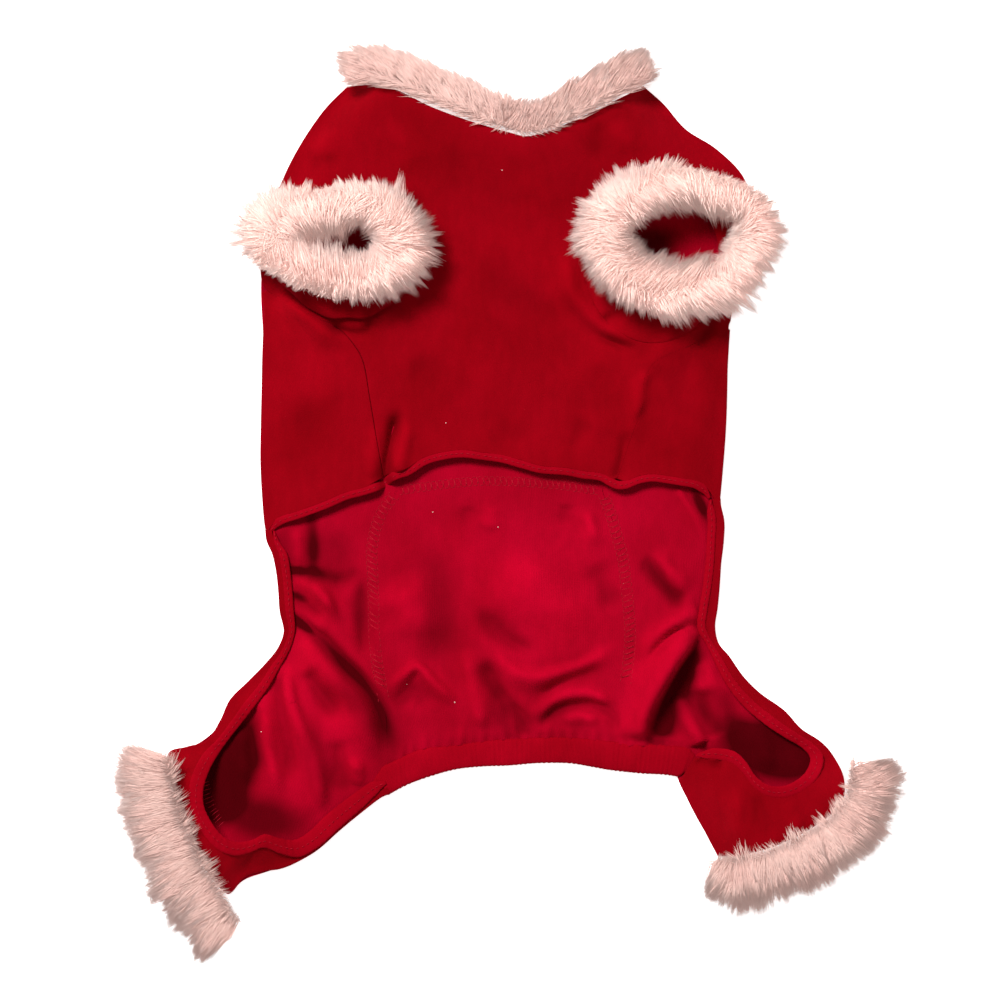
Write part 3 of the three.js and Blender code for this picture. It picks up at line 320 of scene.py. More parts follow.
NEAR_CREASES = [
    # pleat beside the left side seam
    (-3.8, 2.2, 2.8, 0.25, 0.0, [(-52.5, 46.5), (-56.5, 39), (-59, 30), (-60.7, 20), (-61.5, 8)]),
    (1.6, 3.5, 3.0, 0.3, 0.1, [(-49, 40), (-52, 28), (-54.5, 14)]),
    (1.0, 3.0, 3.0, 0.3, 0.1, [(-66, 40), (-67.5, 26), (-68.5, 12)]),
    # drawn up to the right cuff
    (2.4, 4.0, 5.0, 0.3, 0.3, [(26, 132), (29.5, 116), (33, 100), (42, 89), (54, 83), (64, 79), (69, 72)]),
    (-3.0, 3.2, 3.4, 0.3, 0.3, [(25, 108), (33, 94), (43, 85), (55, 78.5), (66, 75)]),
    (-1.2, 8.0, 8.0, 0.4, 0.3, [(-20, 124), (0, 104), (20, 93), (36, 87)]),
    (1.1, 9.0, 9.0, 0.4, 0.4, [(-14, 140), (8, 122), (22, 106)]),
    (1.0, 9.0, 9.0, 0.4, 0.4, [(18, 54), (38, 66), (58, 82)]),
    (-2.4, 3.0, 4.0, 0.2, 0.2, [(105, 93), (99, 83), (92, 76)]),
    (-1.8, 2.6, 3.0, 0.3, 0.3, [(45, 88), (52, 92.5), (60, 96.5)]),
    (1.6, 3.0, 4.0, 0.2, 0.3, [(70, 66), (66, 57), (65, 48), (60, 40)]),
    (-0.9, 5.0, 5.0, 0.3, 0.3, [(41, 42), (36, 32), (29, 24)]),
    (0.9, 5.0, 5.0, 0.3, 0.3, [(47, 46), (42, 34), (38, 22)]),
    (-1.4, 2.6, 3.2, 0.3, 0.1, [(58.5, 36), (57, 24), (54.5, 10)]),
    (0.9, 4.0, 4.0, 0.4, 0.3, [(64, 62), (64, 44), (62, 28)]),
    (-1.2, 8.0, 7.0, 0.4, 0.4, [(-50, 72), (-41, 64), (-31, 56)]),
    (0.8, 10.0, 10.0, 0.4, 0.4, [(-30, 90), (-14, 66), (0, 44)]),
    (-0.8, 7.0, 7.0, 0.4, 0.4, [(-12, 36), (2, 31), (14, 30)]),
    # below the left sleeve
    (-1.9, 2.0, 2.6, 0.3, 0.3, [(-91, 90), (-84, 86), (-76, 84), (-66, 86)]),
    (-1.6, 2.2, 2.2, 0.4, 0.4, [(-66.5, 90.5), (-70, 87.5), (-73, 87.5)]),
    (2.6, 4.0, 5.0, 0.2, 0.3, [(-120, 104), (-105, 95), (-92, 85), (-82, 78)]),
    (-2.2, 3.0, 3.0, 0.2, 0.2, [(-112, 107.5), (-101, 98.5), (-91, 90), (-81, 83)]),
    (0.9, 7.0, 7.0, 0.4, 0.4, [(-104, 78), (-94, 60), (-90, 40)]),
    (-0.8, 7.0, 7.0, 0.4, 0.4, [(-110, 52), (-100, 34), (-92, 18)]),
    # shoulders and the belly's upper part
    (1.4, 3.5, 4.0, 0.3, 0.4, [(-101, 176), (-93, 180), (-86, 188)]),
    (-1.3, 3.5, 3.5, 0.3, 0.4, [(-100, 168), (-90, 170), (-82, 168)]),
    (1.0, 6.0, 6.0, 0.4, 0.4, [(-60, 190), (-50, 176), (-46, 160)]),
    (-0.8, 6.0, 6.0, 0.4, 0.4, [(-30, 178), (-26, 160), (-28, 144)]),
    (-1.2, 4.0, 5.0, 0.3, 0.4, [(46, 190), (45, 178), (46, 166)]),
    (1.1, 4.0, 5.0, 0.3, 0.4, [(56, 192), (58, 182), (66, 174)]),
    (0.8, 9.0, 9.0, 0.4, 0.4, [(10, 168), (14, 150), (6, 132)]),
    # right flank, below the cuff
    (-2.0, 3.0, 3.0, 0.3, 0.3, [(108, 99), (100, 92), (91, 88)]),
    (1.2, 6.0, 6.0, 0.4, 0.4, [(78, 84), (74, 72), (72, 60)]),
    (-0.9, 6.0, 6.0, 0.4, 0.4, [(92, 78), (86, 58), (84, 38)]),
    (0.9, 6.0, 6.0, 0.4, 0.4, [(100, 60), (98, 40), (95, 20)]),
    # near halves of the hind legs
    (1.6, 3.0, 4.0, 0.3, 0.3, [(-146, -196), (-140, -184), (-137, -176)]),
    (-1.5, 2.5, 2.5, 0.2, 0.3, [(-132, -186), (-131, -180), (-128, -176)]),
    (-1.4, 2.4, 2.0, 0.2, 0.2, [(93, -128.6), (100, -131.5), (108, -131)]),
    (1.3, 4.0, 4.0, 0.3, 0.3, [(112, -142), (113, -156), (112, -170)]),
    (-1.2, 4.0, 4.0, 0.3, 0.3, [(123, -144), (126, -158), (131, -168)]),
    (1.2, 4.0, 4.0, 0.3, 0.3, [(139, -148), (141, -158), (147, -164)]),
]


# ---------------------------------------------------------------- lines and heights
TURN = 2 * math.pi
ANY_PHASE = 6.28  # upper end of a random phase
WAVES = 7  # crossing waves that make cloth uneven
RUMP_REACH = 3.0  # the seat lies flat this near to the rump band
GATHERS_UNDER_BAND = 2  # and its gathers run on this far under the band
FOLD_SHARE_FAR, FOLD_SHARE_NEAR = 0.3, 0.5  # of their height that the broad folds take up
# Gentle unevenness of each layer: height, pitch and seed.
FAR_WAVES = ((0.5, 34, 5), (0.12, 11, 6))
NEAR_WAVES = ((0.45, 46, 15), (0.10, 12, 16))


def xy(rows, name=""):
    """One end of each row of a table, as a line."""
    prefix = name + "_" if name else ""
    return np.column_stack([rows[prefix + "x"], rows[prefix + "y"]])


def at(line, places):
    """Points on the smooth line through the given points. Places count in points."""
    line = np.asarray(line, float)
    places = np.clip(places, 0, len(line) - 1)
    run = np.maximum(np.linalg.norm(np.diff(line, axis=0), axis=1), 1e-6)
    slope = np.empty_like(line)
    slope[1:-1] = (line[2:] - line[:-2]) / (run[:-1] + run[1:])[:, None]
    slope[0] = (line[1] - line[0]) / run[0]
    slope[-1] = (line[-1] - line[-2]) / run[-1]
    index = np.minimum(places.astype(int), len(line) - 2)
    t = (places - index)[:, None]
    h = run[index][:, None]
    return ((2 * t ** 3 - 3 * t ** 2 + 1) * line[index] + (t ** 3 - 2 * t ** 2 + t) * h * slope[index]
            + (3 * t ** 2 - 2 * t ** 3) * line[index + 1] + (t ** 3 - t ** 2) * h * slope[index + 1])


def smooth(line, count):
    """That many points on the smooth line through the given points."""
    return at(line, np.linspace(0, len(line) - 1, count))


def unit(vectors):
    return vectors / np.maximum(np.linalg.norm(vectors, axis=-1, keepdims=True), 1e-9)


def lengths(line):
    """Distance along a line of points, from its first point."""
    return np.concatenate([[0.0], np.cumsum(np.linalg.norm(np.diff(line, axis=0), axis=1))])


def follow(places, run, values):
    """Each column of the values at the places along a run."""
    return np.column_stack([np.interp(places, run, column) for column in values.T])


def even(line, step):
    """The smooth line through the points, in even steps, with its directions."""
    fine = smooth(line, 24 * len(line))
    run = lengths(fine)
    places = np.linspace(0, run[-1], max(3, int(round(run[-1] / step)) + 1))
    points = follow(places, run, fine)
    return points, unit(np.gradient(points, axis=0)), places


def beside(line, amount):
    """The line moved sideways, to its left when positive."""
    ahead = unit(np.vstack([line[1:], line[-1:]]) - np.vstack([line[:1], line[:-1]]))
    return line + amount * np.column_stack([-ahead[:, 1], ahead[:, 0]])


def nearest(points, line):
    """Distance to a line of points, which side of it, and how far along it in shares."""
    best = np.full(len(points), 1e9)
    side = np.ones(len(points))
    share = np.zeros(len(points))
    run = lengths(line)
    for k in range(len(line) - 1):
        way = line[k + 1] - line[k]
        offset = points - line[k]
        t = np.clip(offset @ way / max(way @ way, 1e-9), 0, 1)
        distance = np.linalg.norm(offset - t[:, None] * way, axis=1)
        closer = distance < best
        best[closer] = distance[closer]
        side[closer] = np.sign(way[0] * offset[closer, 1] - way[1] * offset[closer, 0])
        share[closer] = (run[k] + t[closer] * (run[k + 1] - run[k])) / run[-1]
    return best, side, share


def bump(distance, reach):
    return np.exp(-((distance / reach) ** 2))


def ease(value):
    value = np.clip(value, 0, 1)
    return value * value * (3 - 2 * value)


def crease_height(creases, points):
    """Height of all creases at the points. Each wanders a little in width and height."""
    total = np.zeros(len(points))
    for number, (height, left, right, start, end, corners) in enumerate(creases):
        line = smooth(corners, 5 * len(corners))
        reach = 3 * max(left, right)
        close = np.all((points > line.min(0) - reach) & (points < line.max(0) + reach), axis=1)
        distance, side, share = nearest(points[close], line)
        fading = ease(share / start)
        if end > 0:
            fading = fading * ease((1 - share) / end)
        width = np.where(side > 0, left, right) * (1 + 0.18 * np.sin(9 * share + number))
        uneven = 1 + 0.16 * np.sin(7 * share + 2.1 * number)
        total[close] += height * uneven * fading * bump(distance, width)
    return total


def folds_height(folds, points):
    """Height of the broad straight folds at the points."""
    total = np.zeros(len(points))
    for start, end, half_width, height in zip(xy(folds, "from"), xy(folds, "to"), folds["half_width"],
                                              folds["height"]):
        total += height * bump(nearest(points, np.array([start, end]))[0], half_width)
    return total


def inside(points):
    """0 on a side fold, rising to 1 within the piece."""
    fold_lines = (FOLD_LEFT, FOLD_RIGHT, LEG_FOLD_LEFT, LEG_FOLD_RIGHT)
    distance = np.min([nearest(points, xy(line))[0] for line in fold_lines], axis=0)
    return 1 - bump(distance, EDGE_ROUND)


def soft_waves(points, waves):
    """Gentle unevenness of cloth that lies by itself."""
    total = np.zeros(len(points))
    for height, size, seed in waves:
        draw = np.random.default_rng(seed)
        for _ in range(WAVES):
            turn = draw.uniform(0, math.pi)
            pitch = size * draw.uniform(0.7, 1.6)
            way = np.array([math.cos(turn), math.sin(turn)])
            across = np.array([-way[1], way[0]])
            bend = np.sin(points @ across / (1.7 * pitch) * TURN + draw.uniform(0, ANY_PHASE))
            phase = 0.9 * bend + draw.uniform(0, ANY_PHASE)
            total += height / WAVES * np.sin(points @ way / pitch * TURN + phase)
    return total


def rump_gathers(points):
    """Small ridges that stand where the rump band draws the seat in."""
    total = np.zeros(len(points))
    below = points[:, 1] - np.interp(points[:, 0], RUMP_TOP["x"], RUMP_TOP["y"])
    for x, length, half_width, height in zip(*RUMP_GATHERS.values()):
        across = points[:, 0] - x - 0.12 * math.sin(3 * x) * below
        total += height * bump(across, half_width) * ease(1 - below / length) * (below > -GATHERS_UNDER_BAND)
    return total


def from_middle(points, place, turn=0.0):
    """Distance from the middle of an ellipse, in shares of its radii. The place is middle and radii."""
    cosine, sine = math.cos(math.radians(turn)), math.sin(math.radians(turn))
    over, up = points[:, 0] - place[0], points[:, 1] - place[1]
    return np.hypot((over * cosine + up * sine) / place[2], (up * cosine - over * sine) / place[3])


def far_height(x, y):
    points = np.column_stack([x, y])
    room = 1 - bump(nearest(points, xy(RUMP_TOP))[0], RUMP_REACH)
    lift = FOLD_SHARE_FAR * folds_height(FAR_FOLDS, points) + FAR_DEPTH * crease_height(FAR_CREASES, points)
    for *place, height in FAR_AIR:
        lift += height * bump(from_middle(points, place), 1)
    lift += soft_waves(points, FAR_WAVES)
    lift = np.where(lift > FLATTEN, lift, FLATTEN * np.exp(np.minimum(lift / FLATTEN - 1, 0)))
    return FAR_MIDDLE + inside(points) ** 2 * (room * lift + rump_gathers(points))


def far_painted_shade(x, y):
    """Painted light and shade of the far layer: darker the deeper it lies in its creases and in the hollows
    of the legs, lighter on its ridges.
    """
    points = np.column_stack([x, y])
    relief = crease_height(FAR_CREASES, points) + 0.25 * folds_height(FAR_FOLDS, points)
    relief = relief * inside(points) + 0.8 * rump_gathers(points)
    depth = np.clip(0.28 - 0.135 * relief, 0, 0.9)
    for *place, turn, strength in FAR_SHADE_PATCHES:
        depth += strength * (1 - ease(from_middle(points, place, turn) - 0.4))
    return np.clip(depth, 0, 1.3)


# Painted light and shade of the near layer: darker in its creases, lighter on its ridges.
def near_painted_shade(x, y):
    points = np.column_stack([x, y])
    relief = crease_height(NEAR_CREASES, points) + 0.3 * folds_height(NEAR_FOLDS, points)
    return np.clip(0.18 - 0.10 * relief, 0, 0.8)


def near_height(x, y):
    points = np.column_stack([x, y])
    lift = BELLY_AIR + NECK_AIR * bump(nearest(points, xy(NECK_EDGE))[0], NECK_AIR_REACH)
    for middle in LEG_MIDDLES:
        lift += LEG_AIR * bump(np.linalg.norm(points - middle, axis=1), LEG_AIR_REACH)
    lift += FOLD_SHARE_NEAR * folds_height(NEAR_FOLDS, points)
    lift += NEAR_DEPTH * crease_height(NEAR_CREASES, points)
    for armhole in ARMHOLES:
        past = np.maximum(from_middle(points, armhole) - 1, 0) * armhole[2]
        lift += SLEEVE_SWELL * bump(past, SLEEVE_SWELL_REACH)
    return NEAR_MIDDLE + inside(points) * (lift + soft_waves(points, NEAR_WAVES))


# ---------------------------------------------------------------- meshes
def new_piece(name, points, faces, uv=None, attributes=None):
    """A smooth mesh from points in millimetres and lists of faces with three or four corners."""
    mesh = bpy.data.meshes.new(name)
    mesh.vertices.add(len(points))
    mesh.vertices.foreach_set("co", (points * MM).astype(np.float32).ravel())
    sizes = np.concatenate([np.full(len(group), group.shape[1]) for group in faces])
    corners = np.concatenate([group.ravel() for group in faces]).astype(np.int32)
    mesh.loops.add(len(corners))
    mesh.loops.foreach_set("vertex_index", corners)
    mesh.polygons.add(len(sizes))
    mesh.polygons.foreach_set("loop_start", (np.cumsum(sizes) - sizes).astype(np.int32))
    mesh.polygons.foreach_set("use_smooth", np.ones(len(sizes), bool))
    if uv is not None:
        layer = mesh.uv_layers.new(name="cloth")
        layer.data.foreach_set("uv", (uv[corners] * MM).astype(np.float32).ravel())
    for label, values in (attributes or {}).items():
        layer = mesh.attributes.new(label, "FLOAT", "POINT")
        layer.data.foreach_set("value", values.astype(np.float32))
    mesh.update(calc_edges=True)
    mesh.validate()
    piece = bpy.data.objects.new(name, mesh)
    bpy.context.scene.collection.objects.link(piece)
    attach(piece, "root")
    return piece


def finish_piece(piece, look, slot, *nodes):
    piece.data.materials.append(look)
    if nodes:
        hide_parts(*nodes)
    return piece


def grid_quads(index):
    """Quads between neighbouring rows and columns of a grid of point numbers."""
    return np.stack([index[:-1, :-1], index[1:, :-1], index[1:, 1:], index[:-1, 1:]], axis=2).reshape(-1, 4)


def looped(grid):
    """The grid with its first column once more after its last."""
    return np.concatenate([grid, grid[:, :1]], axis=1)


def outwards(points, faces):
    """The faces of a closed shape, turned so that they point out of it."""
    points = points - points.mean(0)
    volume = 0.0
    for group in faces:
        for k in range(1, group.shape[1] - 1):
            a, b, c = points[group[:, 0]], points[group[:, k]], points[group[:, k + 1]]
            volume += np.einsum("ij,ij->i", a, np.cross(b, c)).sum()
    return faces if volume > 0 else [group[:, ::-1] for group in faces]


RIM = np.array([0.0, 0.12, 0.3, 0.6])  # the first places of a grid, in from its edge
RIM_CURL = bump(RIM, 0.45)[:, None]
THIN_EDGE = 0.14  # share of the wall that is left at the tip of a rounded edge
HOLE_WALL = 0.95  # and round an armhole
BACK_SHADE = 0.4  # how much of its painted shade a cloth's hidden face has
FULL_SIDES = 75  # percentile of a grid's widths by which its cells are counted


def cells(length, cell):
    """Places along a side: close together at both ends, so that edges round, and even between."""
    rim = RIM / length
    middle = np.linspace(rim[-1], 1 - rim[-1], max(4, int(round(length / cell))))
    return np.concatenate([rim[:-1], middle, 1 - rim[:-1][::-1]])


def patch(left, right, top=None, bottom=None, cell=2.0):
    """Grid of plan points between a left and a right line, whose ends may follow other lines."""
    rows = len(left) - 1
    fine = np.linspace(0, rows, 30 * rows + 1)
    left_fine, right_fine = at(left, fine), at(right, fine)
    run = (lengths(left_fine) + lengths(right_fine)) / 2
    down = np.interp(cells(run[-1], cell) * run[-1], run, fine)
    u = cells(np.percentile(np.linalg.norm(left_fine - right_fine, axis=1), FULL_SIDES), cell)
    start, end = at(left, down)[:, None], at(right, down)[:, None]
    v = (down / rows)[:, None, None]
    across = u[None, :, None]
    straight = (1 - across) * start + across * end
    top = [left[0], right[0]] if top is None else top
    bottom = [left[-1], right[-1]] if bottom is None else bottom
    bow_top = at(top, u * (len(top) - 1)) - straight[0]
    bow_bottom = at(bottom, u * (len(bottom) - 1)) - straight[-1]
    return straight + (1 - v) * bow_top + v * bow_bottom


def grid_uv(grid):
    """Lengths of cloth across and down, from the middle of the first row."""
    down = np.linalg.norm(np.diff(grid, axis=0), axis=2).mean(1)
    v = np.concatenate([[0], np.cumsum(down)])
    across = np.linalg.norm(np.diff(grid, axis=1), axis=2)
    u = np.concatenate([np.zeros((len(grid), 1)), np.cumsum(across, axis=1)], axis=1)
    u -= u.mean(1, keepdims=True)
    return np.stack([u, -np.broadcast_to(v[:, None], u.shape)], axis=2)


def edge_share(count, first, last):
    """Share of the wall that each row has: rounded edges thin out, cut edges stay whole."""
    share = np.ones(count)
    rounded = np.sqrt(1 - (1 - RIM / RIM[-1]) ** 2)
    rounded[0] = THIN_EDGE
    if first == "round":
        share[:len(RIM)] = rounded
    if last == "round":
        share[-len(RIM):] = rounded[::-1]
    return share


def cloth(node, grid, height, edges, left_curl=0.0, right_curl=0.0, holes=()):
    """A wall of cloth on a grid, for a node of the part. Edges are top, bottom, left and right: round or
    cut. With two edges it closes to a ring."""
    rows, columns = grid.shape[:2]
    x, y = grid[..., 0].ravel(), grid[..., 1].ravel()
    z = height(x, y).reshape(rows, columns, 1)
    z[:, :len(RIM)] += left_curl * RIM_CURL
    z[:, -len(RIM):] += right_curl * RIM_CURL[::-1]
    middle = np.concatenate([grid, z], axis=2)
    share = edge_share(rows, *edges[:2])[:, None] * np.ones(columns)
    index = np.arange(rows * columns).reshape(rows, columns)
    if len(edges) == 2:
        index = looped(index)
    else:
        share = np.minimum(share, edge_share(columns, *edges[2:]))
    quads = grid_quads(index)
    points, share = middle.reshape(-1, 3).copy(), share.ravel()
    for hole in holes:
        centre, radii = np.array(hole[:2]), np.array(hole[2:])
        place = (points[:, :2] - centre) / radii
        radius = np.linalg.norm(place, axis=1)
        quads = quads[~np.all(radius[quads] < 1, axis=1)]
        pulled = (radius < 1) & np.isin(np.arange(len(points)), quads)
        points[pulled, :2] = centre + radii * place[pulled] / radius[pulled, None]
        points[pulled, 2] = near_height(points[pulled, 0], points[pulled, 1])
        share[pulled] = HOLE_WALL
    far = height is far_height
    # painted light and shade of the layer, which the 'depth' attribute carries to the velour
    depth = (far_painted_shade if far else near_painted_shade)(points[:, 0], points[:, 1])
    uv = grid_uv(middle).reshape(-1, 2)
    piece = wall_piece(node + "_cloth", points, quads, share * CLOTH_WALL / 2, uv, depth)
    if far:
        return finish_piece(piece, WRONG, "velour_wrong_side", node)
    return finish_piece(piece, FACE, "velour_face", node)


def wall_piece(name, points, quads, half, uv, depth):
    """Both faces of a wall round middle points, joined round every open edge."""
    used = np.unique(quads)
    renumber = np.full(len(points), -1)
    renumber[used] = np.arange(len(used))
    points, half, uv, depth, quads = points[used], half[used], uv[used], depth[used], renumber[quads]
    diagonal = np.cross(points[quads[:, 2]] - points[quads[:, 0]], points[quads[:, 3]] - points[quads[:, 1]])
    normal = np.zeros_like(points)
    for corner in range(4):
        np.add.at(normal, quads[:, corner], diagonal)
    normal = unit(normal)
    if normal[:, 2].mean() < 0:
        quads = quads[:, ::-1]
        normal = -normal
    count = len(points)
    front, back = points + normal * half[:, None], points - normal * half[:, None]
    back[:, 2] = np.maximum(back[:, 2], 0.0)
    one, two = quads.T.ravel(), np.roll(quads, -1, axis=1).T.ravel()
    rim = ~np.isin(one * count + two, two * count + one)
    one, two = one[rim], two[rim]
    faces = [quads, quads[:, ::-1] + count, np.column_stack([two, one, one + count, two + count])]
    # the 'depth' attribute holds painted shade for the velour's colour
    return new_piece(name, np.vstack([front, back]), faces, np.vstack([uv, uv]),
                     {"depth": np.concatenate([depth, BACK_SHADE * depth])})


TUBE_SIDES = 12
SQUARENESS = 2.6  # 2 gives a tube's section as an ellipse, and more flattens its sides
SIDEWAYS_SWELL = 0.15  # a band swells this much less across than in height


def tube(name, places, axes, half_axis, half_across, swell):
    """A closed tube with a flattened oval section. The axes point across it, level."""
    count = len(places)
    up = unit(np.cross(unit(np.gradient(places, axis=0)), axes))
    angle = TURN * (np.arange(TUBE_SIDES) + 0.5) / TUBE_SIDES
    circle = np.stack([np.cos(angle), np.sin(angle)])
    cosine, sine = np.sign(circle) * np.abs(circle) ** (2 / SQUARENESS)
    along_axis = half_axis[:, None] * cosine * (1 + SIDEWAYS_SWELL * (swell - 1))
    along_up = half_across[:, None] * sine * swell
    points = places[:, None] + axes[:, None] * along_axis[..., None] + up[:, None] * along_up[..., None]
    around = np.arange(TUBE_SIDES) * TURN / TUBE_SIDES * np.mean(half_axis)
    uv = np.stack(np.broadcast_arrays(lengths(places)[:, None], around), axis=2).reshape(-1, 2)
    ring = np.arange(TUBE_SIDES)
    first = count * TUBE_SIDES
    end_ring = ring + first - TUBE_SIDES
    caps = np.vstack([np.column_stack([np.full(TUBE_SIDES, first), np.roll(ring, -1), ring]),
                      np.column_stack([np.full(TUBE_SIDES, first + 1), end_ring, np.roll(end_ring, -1)])])
    points = np.vstack([points.reshape(-1, 3), places[:1], places[-1:]])
    quads = grid_quads(looped(np.arange(first).reshape(count, TUBE_SIDES)).T)
    return new_piece(name, points, outwards(points, [quads, caps]), np.vstack([uv, uv[:1], uv[-1:]]))


# ---------------------------------------------------------------- materials
class Finish:
    """A Principled material whose even values sit on its own sockets, and its patterns."""

    def __init__(self, name, colour, roughness, sheen=0.0, sheen_tint=(1, 1, 1), specular=0.3):
        self.material = bpy.data.materials.new(name)
        self.material.use_nodes = True
        self.tree = self.material.node_tree
        self.shader = self.tree.nodes["Principled BSDF"]
        self.place = self.tree.nodes.new("ShaderNodeTexCoord").outputs["Object"]
        self.feed(self.shader, {
            "Base Color": (*colour, 1), "Roughness": roughness, "Specular IOR Level": specular,
            "Sheen Weight": sheen, "Sheen Tint": (*sheen_tint, 1), "Sheen Roughness": 0.5})

    def feed(self, node, inputs):
        """Sets each input to its value, or links it to the output that it is given."""
        for name, value in inputs.items():
            if isinstance(value, bpy.types.NodeSocket):
                self.tree.links.new(value, node.inputs[name])
            else:
                node.inputs[name].default_value = value

    def node(self, kind, inputs):
        made = self.tree.nodes.new("ShaderNode" + kind)
        self.feed(made, inputs)
        return made

    def attribute(self, name):
        node = self.node("Attribute", {})
        node.attribute_name = name
        return node.outputs["Fac"]

    def noise(self, scale, detail=2.0, stretch=None):
        """Noise in the piece's own place, with its scale per metre."""
        place = self.place
        if stretch:
            place = self.node("Mapping", {"Scale": stretch, "Vector": place}).outputs["Vector"]
        return self.node("TexNoise", {"Scale": scale, "Detail": detail, "Vector": place}).outputs["Fac"]

    def ramp(self, value, low, high, dark, light):
        """Colours from dark to light between two values of a pattern."""
        stops = self.node("ValToRGB", {"Fac": value})
        for stop, position, colour in zip(stops.color_ramp.elements, (low, high), (dark, light)):
            stop.position = position
            stop.color = (*colour, 1)
        return stops.outputs["Color"]

    def multiply(self, one, two, share=1.0):
        mix = self.node("Mix", {"Factor": share})
        mix.data_type = "RGBA"
        mix.blend_type = "MULTIPLY"
        self.feed(mix, {6: one, 7: two})  # the two colours that a colour mix takes
        return mix.outputs[2]

    def cover(self, colour, heights):
        """Gives the material its colour pattern and bumps: pattern, strength and depth in metres."""
        self.feed(self.shader, {"Base Color": colour})
        above = self.shader
        for pattern, strength, depth in reversed(heights):
            under = self.node("Bump", {"Strength": strength, "Distance": depth, "Height": pattern})
            self.feed(above, {"Normal": under.outputs["Normal"]})
            above = under
        return self.material


WHITE = (1.0, 1.0, 1.0)


def velour(name, deep, bright, sheen, knit):
    """Red velour: a short pile brushed in patches, or its fine knitted wrong side. Painted shade darkens it
    where its 'depth' attribute is high, and painted light brightens it where that is low.
    """
    look = Finish(name, bright, 0.95, sheen, (1.0, 0.0, 0.03), 0.02)
    strokes = look.noise(240, 4.0, (1.0, 0.45, 1.0))
    grain = look.noise(2600)
    base = look.ramp(look.noise(26, 2.5), 0.32, 0.70, deep, bright)
    brushed = look.ramp(strokes, 0.30, 0.72, (0.80, 0.80, 0.80), WHITE)
    speckle = look.ramp(grain, 0.25, 0.75, (0.74, 0.74, 0.74), WHITE)
    # painted light and shade: the 'depth' attribute darkens creases and hollows and lightens ridges
    shade = look.ramp(look.attribute("depth"), 0.0, 1.0, (1.15, 1.15, 1.15), (0.18, 0.15, 0.14))
    colour = look.multiply(look.multiply(base, brushed, 0.55), speckle, 0.7)
    heights = [(strokes, 0.25, 0.0006), (grain, 0.5, 0.0003)]
    if knit:
        uv = look.node("UVMap", {})
        uv.uv_map = "cloth"
        wales = look.node("TexWave", {"Scale": 250, "Distortion": 1.2, "Detail": 2,
                                      "Vector": uv.outputs["UV"]})
        wales.wave_type = "BANDS"
        wales.bands_direction = "X"
        heights.append((wales.outputs["Fac"], 0.16, 0.0003))
    return look.cover(look.multiply(colour, shade), heights)


PILE_GLOW = 0.19  # painted glow: an emission that stands for the light that long pale pile scatters within itself


def plush_material():
    """Cream pile with a warm pink cast: each tuft has its own tone, and it is duller at its root, which is
    painted shade deep in the pile. An emission gives it a painted glow.
    """
    look = Finish("plush", (0.95, 0.85, 0.80), 0.62, 0.3, (1.0, 0.90, 0.86), 0.25)
    tufts_tone = look.ramp(look.attribute("tone"), 0.0, 1.0, (0.54, 0.340, 0.300), (0.97, 0.735, 0.67))
    cast = look.ramp(look.noise(55), 0.35, 0.68, (1.0, 0.93, 0.92), (1.0, 1.0, 0.99))
    # painted shade: darker and slightly pinker towards the roots of the hairs and on the undercoat
    root = look.ramp(look.attribute("reach"), 0.0, 0.75, (0.92, 0.84, 0.82), WHITE)
    # painted glow
    look.feed(look.shader, {"Emission Color": (1.0, 0.70, 0.63, 1), "Emission Strength": PILE_GLOW})
    return look.cover(look.multiply(look.multiply(tufts_tone, cast), root), [(look.noise(1500), 0.2, 0.0003)])


def thread_material():
    look = Finish("thread", (0.35, 0.004, 0.015), 0.8, 0.1, (1.0, 0.2, 0.2), 0.06)
    twist = look.noise(900)
    colour = look.ramp(twist, 0.3, 0.7, (0.31, 0.003, 0.012), (0.46, 0.009, 0.026))
    return look.cover(colour, [(twist, 0.3, 0.0002)])


FACE = velour("velour_face", (0.225, 0.0002, 0.0035), (0.285, 0.0004, 0.0055), 0.13, False)
WRONG = velour("velour_wrong_side", (0.345, 0.0004, 0.011), (0.44, 0.0006, 0.017), 0.16, True)
BAND = velour("elastic_band", (0.24, 0.0002, 0.005), (0.31, 0.0004, 0.008), 0.14, False)
PLUSH = plush_material()
THREAD = thread_material()

# ---------------------------------------------------------------- cloth pieces
NEAR_CURL, FAR_CURL = -0.45, 0.3  # the two layers come together at the side folds
FOLD_INSET = 0.35  # the far layer stays this far inside its fold
UNDER_BAND = 0.5  # the cloth runs this far under its hem
HOLE_LAP = 0.3  # an armhole is this much smaller than its sleeve
SEAM_START = 8  # the row of the belly where its side seams begin
SIDE_START = 6  # the row of the back where its side pieces begin
HEM_LEFT, HEM_RIGHT = 6, 20  # the hem's points at the two side seams
FRONT_CELL, FLANK_CELL, BACK_CELL, SEAT_CELL, SIDE_CELL, LEG_CELL = 2.3, 1.9, 4.2, 1.45, 1.85, 1.4
FLANK_LEFT_CORNER, FLANK_RIGHT_CORNER = (-121.0, -16.4), (105.5, -3.5)

belly_left, belly_right = xy(BELLY_ROWS, "left"), xy(BELLY_ROWS, "right")
hem_line = xy(BELLY_HEM)
hem_inner = beside(hem_line, BELLY_BAND_WIDTH - UNDER_BAND)


def hem_between(start, first, last, end):
    """The cloth's edge along the belly hem, from one corner of a piece to the other."""
    return np.vstack([start, hem_inner[first + 1:last], end])


sleeve_holes = np.array(ARMHOLES) - (0, 0, HOLE_LAP, HOLE_LAP)
belly_grid = patch(belly_left, belly_right, xy(NECK_EDGE),
                   hem_between(belly_left[-1], HEM_LEFT, HEM_RIGHT, belly_right[-1]), FRONT_CELL)
belly = cloth("belly_panel", belly_grid, near_height, ("round", "cut", "round", "cut"), holes=sleeve_holes)

